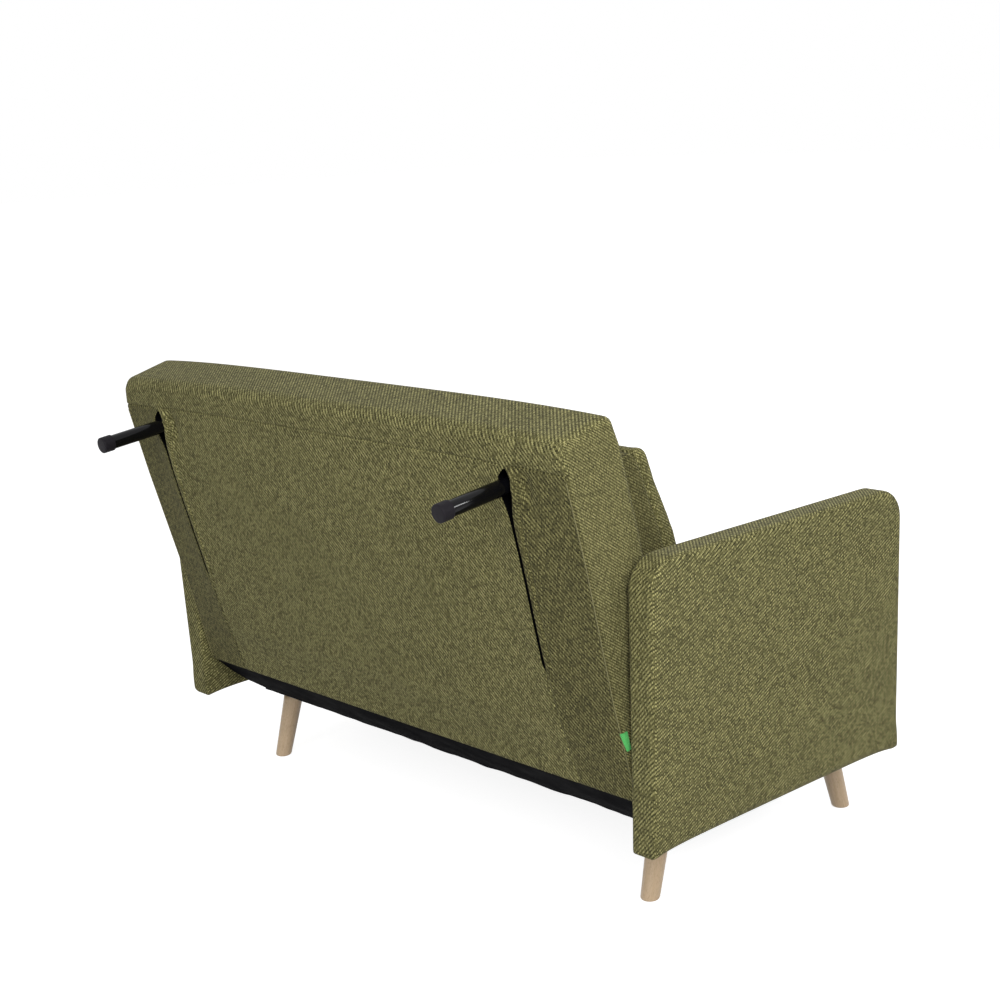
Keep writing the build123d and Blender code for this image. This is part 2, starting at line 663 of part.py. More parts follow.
# Loose back cushions: crowned in front, drawn in at the sides, standing behind the upper section
cushion_foot_u = 4.0
cushion_gap = 0.5
cushion_top = cushion_foot_u + cushion_length
for name, side in sides.items():
    span = on_side(side, cushion_inner, cushion_outer)
    middle_x = (span[0] + span[1]) / 2
    with BuildPart() as cushion:
        with BuildSketch(back_side.offset(span[0])) as cushion_profile:
            with BuildLine():
                Line((cushion_foot_u, cushion_gap), (cushion_foot_u, cushion_foot))
                ThreePointArc(
                    (cushion_foot_u, cushion_foot),
                    (cushion_foot_u + cushion_length * 0.52, cushion_crown),
                    (cushion_top, cushion_head),
                )
                Line((cushion_top, cushion_head), (cushion_top, cushion_gap))
                Line((cushion_top, cushion_gap), (cushion_foot_u, cushion_gap))
            make_face()
            fillet(cushion_profile.vertices().sort_by(Axis.Y)[2:], 22)
        extrude(amount=span[1] - span[0])
        with BuildSketch(Plane(back_side.origin, x_dir=(1, 0, 0), z_dir=along)) as cushion_plan:
            edge_q = -cushion_head
            with BuildLine():
                Line((span[0], 0), (span[1], 0))
                Line((span[1], 0), (span[1], edge_q))
                ThreePointArc((span[1], edge_q), (middle_x, -cushion_crown), (span[0], edge_q))
                Line((span[0], edge_q), (span[0], 0))
            make_face()
            fillet(cushion_plan.vertices().group_by(Axis.Y)[0], 18)
        extrude(amount=cushion_top + 10, mode=Mode.INTERSECT)
        with BuildSketch(back_face) as cushion_front:
            with BuildLine():
                low, high = cushion_foot_u, cushion_top
                half_u = (low + high) / 2
                Line((span[0], low), (span[1], low))
                ThreePointArc((span[1], low), (span[1] - cushion_draw, half_u), (span[1], high))
                ThreePointArc((span[1], high), (middle_x, high - cushion_draw), (span[0], high))
                ThreePointArc((span[0], high), (span[0] + cushion_draw, half_u), (span[0], low))
            make_face()
            fillet(cushion_front.vertices(), 20)
        extrude(amount=cushion_crown + 10, mode=Mode.INTERSECT)
    save(cushion.part, f"back_cushion_{name}")
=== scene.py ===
import json
import math
from functools import partial

import bmesh
import bpy
import numpy as np
from mathutils import Matrix, Vector, noise


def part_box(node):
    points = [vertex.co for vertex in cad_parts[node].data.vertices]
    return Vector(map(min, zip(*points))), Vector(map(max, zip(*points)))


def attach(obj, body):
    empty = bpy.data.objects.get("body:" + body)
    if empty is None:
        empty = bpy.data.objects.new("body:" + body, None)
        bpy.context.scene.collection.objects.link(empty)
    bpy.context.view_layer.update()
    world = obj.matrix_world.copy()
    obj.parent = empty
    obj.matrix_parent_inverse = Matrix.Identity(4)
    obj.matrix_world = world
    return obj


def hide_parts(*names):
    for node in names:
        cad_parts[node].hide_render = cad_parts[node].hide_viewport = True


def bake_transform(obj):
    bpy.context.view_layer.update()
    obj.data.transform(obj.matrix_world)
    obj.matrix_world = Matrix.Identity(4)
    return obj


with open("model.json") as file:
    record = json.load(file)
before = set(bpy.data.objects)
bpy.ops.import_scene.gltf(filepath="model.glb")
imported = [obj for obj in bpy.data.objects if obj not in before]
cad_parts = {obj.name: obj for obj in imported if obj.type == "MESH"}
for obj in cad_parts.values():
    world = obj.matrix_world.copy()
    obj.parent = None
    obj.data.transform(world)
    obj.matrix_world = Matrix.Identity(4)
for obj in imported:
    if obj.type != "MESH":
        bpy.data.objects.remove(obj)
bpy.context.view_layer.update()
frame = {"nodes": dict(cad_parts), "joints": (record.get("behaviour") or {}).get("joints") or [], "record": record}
scene = bpy.context.scene
nodes = frame["nodes"]
joints = {j["name"]: j for j in frame["joints"]}
sides = {"left": 1, "right": -1}
print("frame loaded:", len(nodes), "nodes")

# the leaning back's own frame: x across, y up the back from the fold line, z forwards out of its front face
foldPoint = Vector(joints["back_fold"]["pos_m"])
upBack = Vector(joints["cushion_left_lift"]["axis"]).normalized()
outFront = Vector((1, 0, 0)).cross(upBack)
backPlace = Matrix.Translation(foldPoint) @ Matrix((Vector((1, 0, 0)), upBack, outFront)).transposed().to_4x4()
flatPlace = Matrix.Identity(4)


# small helpers for meshes

def addObject(name, bm):
    mesh = bpy.data.meshes.new(name)
    bm.to_mesh(mesh)
    bm.free()
    obj = bpy.data.objects.new(name, mesh)
    scene.collection.objects.link(obj)
    return obj


def readArray(items, key, width, kind):
    flat = np.empty(len(items) * width, kind)
    items.foreach_get(key, flat)
    return flat


def readPoints(mesh):
    return readArray(mesh.vertices, "co", 3, np.float32).reshape(-1, 3).astype(float)


def writePoints(mesh, points):
    mesh.vertices.foreach_set("co", points.astype(np.float32).ravel())
    mesh.update()


def nodeSpan(name, place):
    # a CAD node's lowest and highest corner in a local frame
    turn = np.array(place.inverted())
    points = readPoints(nodes[name].data) @ turn[:3, :3].T + turn[:3, 3]
    return Vector(points.min(0)), Vector(points.max(0))


def bakeModifiers(obj):
    shown = obj.evaluated_get(bpy.context.evaluated_depsgraph_get())
    mesh = bpy.data.meshes.new_from_object(shown)
    obj.modifiers.clear()
    old = obj.data
    obj.data = mesh
    bpy.data.meshes.remove(old)


def voxelSkin(obj, size):
    skin = obj.modifiers.new("skin", "REMESH")
    skin.mode = "VOXEL"
    skin.voxel_size = size
    bakeModifiers(obj)


def startBox(low, high):
    bm = bmesh.new()
    bmesh.ops.create_cube(bm, size=1.0)
    bmesh.ops.scale(bm, vec=high - low, verts=bm.verts)
    bmesh.ops.translate(bm, vec=(low + high) / 2, verts=bm.verts)
    return bm


def roundEdges(bm, pick, radius, segments):
    edges = [e for e in bm.edges if pick(e)]
    bmesh.ops.bevel(bm, geom=edges, offset=radius, segments=segments, profile=0.5, affect="EDGES", material=-1)


def roundedBox(points, low, high, radius):
    # surface points go onto a box with rounded edges; radius has one value per point
    r = radius[:, None]
    inside = np.minimum(np.maximum(points, np.array(low) + r), np.array(high) - r)
    out = points - inside
    return inside + out * r / np.maximum(np.linalg.norm(out, axis=1, keepdims=True), 1e-9)


def ramp(value, low, high):
    share = np.clip((value - low) / (high - low), 0, 1)
    return share * share * (3 - 2 * share)


def tableValue(at, table):
    # straight lines between the pairs of a table
    return np.interp(at, *zip(*table))


def bell(offset, width):
    return np.exp(-(offset / width) ** 2)


def addSurface(name, bm):
    bmesh.ops.recalc_face_normals(bm, faces=bm.faces)
    return addObject(name, bm)


def ofKind(geom, kind):
    return [g for g in geom if isinstance(g, kind)]


def joinRows(bm, rows):
    for below, above in zip(rows, rows[1:]):
        for corners in zip(below, below[1:], above[1:], above):
            bm.faces.new(corners)


def smoothShade(obj):
    obj.data.polygons.foreach_set("use_smooth", [True] * len(obj.data.polygons))


def fineNoise(points, scale, seed):
    return np.array([noise.noise(Vector(p) * scale + Vector((seed, -seed, seed * 0.5))) for p in points])


fillingShape = {"steps": 20, "heldTo": 0.004, "freeOver": 0.02}
clothSettings = {
    "quality": 5, "mass": 0.3, "tension_stiffness": 18, "compression_stiffness": 18, "shear_stiffness": 6,
    "bending_stiffness": 0.6, "use_pressure": True}


def puffUp(obj, shape, bottom):
    # cloth under a little air pressure; it is held near the bottom, where the pad rests on something
    rest = readPoints(obj.data)
    cloth = obj.modifiers.new("filling", "CLOTH")
    for key, value in clothSettings.items():
        setattr(cloth.settings, key, value)
    cloth.settings.uniform_pressure_force = shape["pressure"]
    cloth.settings.effector_weights.gravity = 0
    cloth.collision_settings.use_collision = False
    for step in range(fillingShape["steps"]):
        scene.frame_set(step + 1)
    bakeModifiers(obj)
    scene.frame_set(1)
    moved = readPoints(obj.data) - rest
    length = np.linalg.norm(moved, axis=1, keepdims=True)
    moved *= np.minimum(1.0, shape["cap"] / np.maximum(length, 1e-9))
    free = np.clip((rest[:, 2] - bottom - fillingShape["heldTo"]) / fillingShape["freeOver"], 0, 1)
    writePoints(obj.data, rest + moved * free[:, None])


def layWeave(obj, panels):
    # the "threads" map counts threads across each panel; a panel belongs to the local axis that it faces
    mesh = obj.data
    points = readPoints(mesh)
    facing = np.abs(readArray(mesh.polygons, "normal", 3, np.float32).reshape(-1, 3)).argmax(1)
    axisOf = np.repeat(facing, readArray(mesh.polygons, "loop_total", 1, np.int32))
    corners = readArray(mesh.loops, "vertex_index", 1, np.int32)
    uv = np.zeros((len(corners), 2))
    for axis, (warpAxis, weftAxis, warpPitch, weftPitch) in enumerate(panels):
        here = axisOf == axis
        uv[here, 0] = points[corners[here], warpAxis] / warpPitch
        uv[here, 1] = points[corners[here], weftAxis] / weftPitch
    layer = mesh.uv_layers.new(name="threads")
    layer.data.foreach_set("uv", uv.astype(np.float32).ravel())


def dress(obj, material, body):
    smoothShade(obj)
    obj.data.materials.append(material)
    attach(obj, body)


# materials

def newGroup(name, inputs, outputs):
    # inputs by name and kind; every output is a number
    tree = bpy.data.node_groups.new(name, "ShaderNodeTree")
    for label, kind in inputs.items():
        tree.interface.new_socket(name=label, in_out="INPUT", socket_type=kind)
    for label in outputs:
        tree.interface.new_socket(name=label, in_out="OUTPUT", socket_type="NodeSocketFloat")
    return tree, tree.nodes.new("NodeGroupInput").outputs, tree.nodes.new("NodeGroupOutput").inputs


def addNode(tree, kind, *sources, **settings):
    node = tree.nodes.new(kind)
    for key, value in settings.items():
        setattr(node, key, value)
    for index, source in enumerate(sources):
        if isinstance(source, bpy.types.NodeSocket):
            tree.links.new(source, node.inputs[index])
        elif source is not None:
            node.inputs[index].default_value = source
    return node


def setInputs(node, values):
    for key, value in values.items():
        node.inputs[key].default_value = value


def maths(tree, operation, *sources):
    return addNode(tree, "ShaderNodeMath", *sources, operation=operation).outputs[0]


def blendColour(tree, factor, first, second, mode="MIX"):
    sources = (factor, *[None] * 5, first, second)  # the two colours are the seventh and eighth input
    return addNode(tree, "ShaderNodeMix", *sources, data_type="RGBA", blend_type=mode).outputs[2]


def noiseValue(tree, vector, scale, detail):
    node = addNode(tree, "ShaderNodeTexNoise", vector)
    setInputs(node, {"Scale": scale, "Detail": detail})
    return node.outputs["Fac"]


def spread(tree, value, low, high, toLow, toHigh):
    return addNode(tree, "ShaderNodeMapRange", value, low, high, toLow, toHigh).outputs[0]


weaveShape = {
    "repeat": 4.0, "warpSteps": 1.5, "wander": 0.35, "wanderScale": 0.3, "arch": (0.65, 0.35), "yarnStep": 5.17,
    "yarnRun": 0.31, "layers": (0.0, 3.7), "floatTone": 0.85, "yarnTone": 0.15}


def twillGroup():
    # two over two twill: Height of the yarn surface, a Tone for each float and Face, 1 where the warp lies on top
    tree, given, out = newGroup("twillWeave", {"Threads": "NodeSocketVector"}, ("Height", "Tone", "Face"))
    calc = partial(maths, tree)
    threads, wander, repeat = given["Threads"], weaveShape["wander"], weaveShape["repeat"]
    drift = addNode(tree, "ShaderNodeTexNoise", threads, noise_dimensions="2D")
    drift.inputs["Scale"].default_value = weaveShape["wanderScale"]
    centred = addNode(tree, "ShaderNodeVectorMath", drift.outputs["Color"], (0.5, 0.5, 0.5), operation="SUBTRACT")
    moved = addNode(tree, "ShaderNodeVectorMath", centred.outputs[0], (wander, wander, 0), threads,
                    operation="MULTIPLY_ADD")
    split = addNode(tree, "ShaderNodeSeparateXYZ", moved.outputs[0])
    warp, weft = split.outputs[0], split.outputs[1]
    warpIndex, weftIndex = calc("FLOOR", warp), calc("FLOOR", weft)
    across, along = calc("FRACT", warp), calc("FRACT", weft)
    diagonal = calc("ADD", warpIndex, weftIndex)
    step = calc("FLOORED_MODULO", diagonal, repeat)
    warpUp = calc("LESS_THAN", step, weaveShape["warpSteps"])
    heights, tones = [], []
    for width, run, first in ((across, along, 0.0), (along, across, repeat / 2)):
        roundness = calc("SINE", calc("MULTIPLY", width, math.pi))
        place = calc("MULTIPLY", calc("ADD", calc("SUBTRACT", step, first), run), math.pi / 2)
        arch = calc("MULTIPLY_ADD", calc("SINE", place), *weaveShape["arch"])
        heights.append(calc("MULTIPLY", roundness, arch))
    floatIndex = calc("FLOOR", calc("DIVIDE", diagonal, repeat))
    for index, run, layer in zip((warpIndex, weftIndex), (weft, warp), weaveShape["layers"]):
        spot = addNode(tree, "ShaderNodeCombineXYZ", calc("MULTIPLY", index, weaveShape["yarnStep"]),
                       calc("MULTIPLY", run, weaveShape["yarnRun"]), layer)
        own = addNode(tree, "ShaderNodeCombineXYZ", index, floatIndex, layer)
        chance = addNode(tree, "ShaderNodeTexWhiteNoise", own.outputs[0]).outputs["Value"]
        slow = calc("MULTIPLY", noiseValue(tree, spot.outputs[0], 1.0, 2.0), weaveShape["yarnTone"])
        tones.append(calc("MULTIPLY_ADD", chance, weaveShape["floatTone"], slow))
    for label, (onTop, under) in (("Height", heights), ("Tone", tones)):
        mixed = addNode(tree, "ShaderNodeMix", warpUp, None, under, onTop)
        tree.links.new(mixed.outputs[0], out[label])
    tree.links.new(warpUp, out["Face"])
    return tree


# bands and flecks: stretch along the grain, scale and detail
grainShape = {
    "bands": (0.06, 210.0, 3.0), "flecks": (0.12, 1300.0, 1.0), "fleckLevels": (0.58, 0.72),
    "bandLevels": (0.3, 0.7), "patch": 0.05, "variation": 0.07, "polish": 0.06}


def grainGroup():
    # wood along its own Z: growth bands and short dark flecks
    tree, given, out = newGroup("woodGrain", {"Vector": "NodeSocketVector"}, ("Bands", "Flecks"))
    made = {}
    for key in ("bands", "flecks"):
        stretch, scale, detail = grainShape[key]
        stretched = addNode(tree, "ShaderNodeMapping", given["Vector"])
        stretched.inputs["Scale"].default_value = (1.0, 1.0, stretch)
        made[key] = noiseValue(tree, stretched.outputs[0], scale, detail)
    tree.links.new(made["bands"], out["Bands"])
    tree.links.new(spread(tree, made["flecks"], *grainShape["fleckLevels"], 0.0, 1.0), out["Flecks"])
    return tree


def patchGroup():
    # slow unevenness over a surface: Patch for colour, Speck for fine grit
    tree, given, out = newGroup("unevenness", {"Vector": "NodeSocketVector", "Size": "NodeSocketFloat"},
                                ("Patch", "Speck"))
    scaled = addNode(tree, "ShaderNodeVectorMath", given["Vector"], operation="SCALE")
    tree.links.new(maths(tree, "DIVIDE", 1.0, given["Size"]), scaled.inputs["Scale"])
    for label, scale, detail in (("Patch", 1.0, 3.0), ("Speck", 47.0, 2.0)):
        tree.links.new(noiseValue(tree, scaled.outputs[0], scale, detail), out[label])
    return tree


twillWeave, woodGrain, unevenness = twillGroup(), grainGroup(), patchGroup()


def newMaterial(name):
    material = bpy.data.materials.new(name)
    material.use_nodes = True
    tree = material.node_tree
    return material, tree, tree.nodes["Principled BSDF"]


def useGroup(tree, group, vector):
    return addNode(tree, "ShaderNodeGroup", vector, node_tree=group)


def objectSpot(tree):
    return tree.nodes.new("ShaderNodeTexCoord").outputs["Object"]


def addBump(tree, shader, height, strength, distance):
    bump = tree.nodes.new("ShaderNodeBump")
    setInputs(bump, {"Strength": strength, "Distance": distance})
    tree.links.new(height, bump.inputs["Height"])
    tree.links.new(bump.outputs[0], shader.inputs["Normal"])


patchLevels = (0.25, 0.75)  # most of the noise lies between these


def addPatch(tree, spot, size):
    patch = useGroup(tree, unevenness, spot)
    patch.inputs["Size"].default_value = size
    return patch.outputs


def paint(tree, shader, colour, patch, variation):
    # the base colour, a little lighter and darker in patches
    shade = spread(tree, patch["Patch"], *patchLevels, 1 - variation, 1 + variation)
    tree.links.new(blendColour(tree, 1.0, colour, shade, "MULTIPLY"), shader.inputs["Base Color"])


clothFinish = {"gapLevels": (0.02, 0.5), "patch": 0.09, "variation": 0.05, "roughness": (0.97, 0.84)}


def twillMaterial(name, look):
    material, tree, shader = newMaterial(name)
    weave = useGroup(tree, twillWeave, addNode(tree, "ShaderNodeUVMap", uv_map="threads").outputs[0]).outputs
    yarn = blendColour(tree, weave["Face"], (*look["weft"], 1), (*look["warp"], 1))
    tone = spread(tree, weave["Tone"], 0.0, 1.0, 1 - look["melange"], 1 + look["melange"])
    melange = blendColour(tree, 1.0, yarn, tone, "MULTIPLY")
    filled = spread(tree, weave["Height"], *clothFinish["gapLevels"], 0.0, 1.0)
    cloth = blendColour(tree, filled, (*look["gap"], 1), melange)
    paint(tree, shader, cloth, addPatch(tree, objectSpot(tree), clothFinish["patch"]), clothFinish["variation"])
    tree.links.new(spread(tree, weave["Height"], 0.0, 1.0, *clothFinish["roughness"]), shader.inputs["Roughness"])
    setInputs(shader, {"Specular IOR Level": 0.15, "Sheen Weight": look["sheen"], "Sheen Roughness": 0.5})
    addBump(tree, shader, weave["Height"], 0.5, 0.0006)
    return material


def woodMaterial(name, look):
    material, tree, shader = newMaterial(name)
    spot, rough, polish = look["spot"](tree), look["roughness"], grainShape["polish"]
    grain = useGroup(tree, woodGrain, spot).outputs
    levels = grainShape["bandLevels"]
    body = blendColour(tree, spread(tree, grain["Bands"], *levels, 0.0, 1.0), (*look["pale"], 1), (*look["dark"], 1))
    flecked = blendColour(tree, grain["Flecks"], body, (*look["fleck"], 1))
    paint(tree, shader, flecked, addPatch(tree, spot, grainShape["patch"]), grainShape["variation"])
    tree.links.new(spread(tree, grain["Bands"], *levels, rough - polish, rough + polish), shader.inputs["Roughness"])
    addBump(tree, shader, grain["Flecks"], 0.25, -0.0003)
    return material


def plainMaterial(name, look):
    # moulded, coated or plated surfaces: one colour with a little unevenness
    material, tree, shader = newMaterial(name)
    patch = addPatch(tree, objectSpot(tree), look["patch"])
    paint(tree, shader, (*look["colour"], 1), patch, look["variation"])
    smoothest, roughest = look["roughness"] * 0.85, look["roughness"] * 1.15
    tree.links.new(spread(tree, patch["Patch"], *patchLevels, smoothest, roughest), shader.inputs["Roughness"])
    setInputs(shader, {"Metallic": look["metallic"], "Specular IOR Level": look["specular"]})
    addBump(tree, shader, patch["Speck"], look["bump"], 0.0002)
    return material


def grainSpot(tree):
    return addNode(tree, "ShaderNodeAttribute", attribute_name="grain").outputs["Vector"]


def lengthwiseSpot(tree):
    node = addNode(tree, "ShaderNodeMapping", objectSpot(tree))
    node.inputs["Rotation"].default_value = (0, math.pi / 2, 0)
    return node.outputs[0]


def readLooks(keys, rows):
    return {name: dict(zip(keys, row)) for name, row in rows.items()}


# the second twill is a darker copy of the first: painted shade for the back's side panels outside the slits and for the
# cushions' boxing
clothLooks = readLooks(("warp", "weft", "gap", "melange", "sheen"), {
    "oliveTwill": ((0.298, 0.277, 0.117), (0.104, 0.097, 0.036), (0.026, 0.024, 0.009), 0.72, 0.03),
    "oliveTwillPaintedShade": ((0.210, 0.193, 0.078), (0.073, 0.067, 0.025), (0.019, 0.018, 0.007), 0.72, 0.03),
    "greenRibbon": ((0.16, 0.70, 0.20), (0.09, 0.50, 0.12), (0.05, 0.32, 0.07), 0.1, 0.1)})
woodLooks = readLooks(("pale", "dark", "fleck", "spot", "roughness"), {
    "beechLeg": ((0.60, 0.45, 0.295), (0.54, 0.39, 0.24), (0.40, 0.275, 0.16), grainSpot, 0.38),
    "rawPine": ((0.60, 0.45, 0.27), (0.48, 0.33, 0.18), (0.30, 0.19, 0.09), lengthwiseSpot, 0.75)})
plainLooks = readLooks(("colour", "roughness", "metallic", "specular", "patch", "variation", "bump"), {
    "oliveThread": ((0.21, 0.194, 0.092), 0.75, 0.0, 0.2, 0.004, 0.25, 0.3),
    "blackCoat": ((0.003, 0.003, 0.004), 0.12, 0.0, 0.2, 0.012, 0.15, 0.02),
    "blackPlastic": ((0.011, 0.0095, 0.0125), 0.55, 0.0, 0.12, 0.006, 0.12, 0.3),
    "blackRubber": ((0.018, 0.018, 0.018), 0.82, 0.0, 0.3, 0.006, 0.2, 0.4),
    "zincPlate": ((0.30, 0.30, 0.29), 0.42, 1.0, 0.5, 0.02, 0.12, 0.1),
    "blackLining": ((0.0026, 0.0026, 0.0032), 0.93, 0.0, 0.02, 0.05, 0.3, 0.8)})
oliveTwill, oliveTwillPaintedShade, greenRibbon = (twillMaterial(name, look) for name, look in clothLooks.items())
beechLeg, rawPine = (woodMaterial(name, look) for name, look in woodLooks.items())
oliveThread, blackCoat, blackPlastic, blackRubber, zincPlate, blackLining = (
    plainMaterial(name, look) for name, look in plainLooks.items())

finishes = {
    "sofa_fabric": oliveTwill, "black_lining": blackLining, "leg_wood": beechLeg, "frame_wood": rawPine,
    "black_steel": blackCoat, "black_plastic": blackPlastic, "black_rubber": blackRubber, "bright_steel": zincPlate}
for part in frame["record"]["subparts"]:
    for slot in nodes[part["node"]].material_slots:
        slot.material = finishes[part["material_slot"]]
print("materials made:", len(clothLooks) + len(woodLooks) + len(plainLooks))


def finishSoft(obj, place, panels, body, replaced):
    # a padded piece in olive twill, in the place of a CAD pad
    layWeave(obj, panels)
    obj.data.transform(place)
    dress(obj, oliveTwill, body)
    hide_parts(replaced)
    print("soft piece:", obj.name, len(obj.data.polygons), "faces")


# the back: a leaning slab with two slits for the fold-out legs
backShape = {
    "voxel": 0.006, "edge": 0.0055, "topEdges": (0.026, 0.016), "topBand": (0.60, 0.655), "topCrown": 0.0060,
    "topDrop": 0.0100, "crownBand": (0.45, 0.66), "rearCrown": 0.011, "crownMiddle": 0.30, "crownReach": 0.33,
    "crownFoot": (0.02, 0.13), "widths": ((0.2, 0.9925), (0.45, 1.0103)), "ripple": 0.0008, "seamHeight": 0.609,
    "seamDepth": 0.0027, "seamWidth": 0.0016, "seamCuts": (-0.005, -0.0018, 0.0, 0.0018, 0.005), "edgeSeam": 0.0085,
    "edgeSeamDepth": 0.0011, "edgeSeamWidth": 0.0018, "edgeSeamTop": 0.62, "edgeCuts": (-0.0035, 0.0, 0.0035)}
# the slits, measured from the fold line upwards; wedge, gaps and flares are for the left and the right lip
slitShape = {
    "top": 0.606, "low": 0.224, "tube": 0.576, "tubeHalf": 0.012, "wedge": (0.0175, 0.0146),
    "gaps": (0.0076, 0.0024), "flares": (0.0084, 0.0122), "flareRun": 0.027, "shutRun": 0.025,
    "bands": (0.05, 0.016), "bandHeights": (0.012, 0.63), "reach": 0.11, "lipRun": 0.026,
    "drift": ((0.0, 0.006), (0.224, 0.007), (0.54, 0.0)), "driftRun": 0.04}
slitSwell = {
    "lift": ((0.09, 0.0), (0.224, 0.0035), (0.40, 0.005), (0.52, 0.007), (0.575, 0.0095), (0.606, 0.004),
             (0.635, 0.0)),
    "liftRun": 0.045, "seam": 0.0014, "stitch": 0.0022,
    "hem": ((0.2, 0.0), (0.26, 0.0018), (0.585, 0.0022), (0.606, 0.0)), "hemWidth": ((0.40, 0.0115), (0.58, 0.0145)),
    "hemEdge": 0.004, "dimple": 0.0105, "dimpleSpot": (0.034, 0.572), "dimpleSize": (0.017, 0.034)}
slitPocket = {"lip": 0.001, "throat": 0.013, "walls": ((0.03, 0.017), (0.034, 0.024), (0.074, 0.024))}
slitX = abs(joints["head_leg_left_fold"]["pos_m"][0])
backLow, backHigh = nodeSpan("back_pad", backPlace)


def backWidth(height):
    # narrow enough to pass between the arms, and a little wider above them
    return tableValue(height, backShape["widths"])


def slitOpening(height):
    # how far the left and the right lip stand from the slit's line: a wedge over the tube, then a gap that
    # closes downwards
    top, tube, half = slitShape["top"], slitShape["tube"], slitShape["tubeHalf"]
    if height > tube + half:
        share = max(0.0, (top - height) / (top - tube - half)) ** 0.75
        return [wedge * share for wedge in slitShape["wedge"]]
    close = math.exp(-(max(0.0, tube - half - height) / slitShape["flareRun"]) ** 1.4)
    shut = ramp(height, slitShape["low"], slitShape["low"] + slitShape["shutRun"])
    return [gap * shut + flare * close for gap, flare in zip(slitShape["gaps"], slitShape["flares"])]


def slitCloth(height, near, lean):
    # how far the rear cloth stands out beside a slit: it swells, and a stitched hem runs along the right lip
    lift = tableValue(height, slitSwell["lift"]) * bell(near, slitSwell["liftRun"])
    below = ramp(-height, -slitShape["low"] - 0.01, -slitShape["low"])
    lift -= slitSwell["seam"] * below * bell(near, slitSwell["stitch"])
    if lean > 0:
        return lift
    hem, width = tableValue(height, slitSwell["hem"]), tableValue(height, slitSwell["hemWidth"])
    lift += hem * (1 - ramp(near, width - slitSwell["hemEdge"], width))
    lift -= hem * 0.9 * bell(near - width - 0.0008, slitSwell["stitch"])
    (aside, up), (wide, tall) = slitSwell["dimpleSpot"], slitSwell["dimpleSize"]
    return lift - slitSwell["dimple"] * bell(near - aside, wide) * bell(height - up, tall)


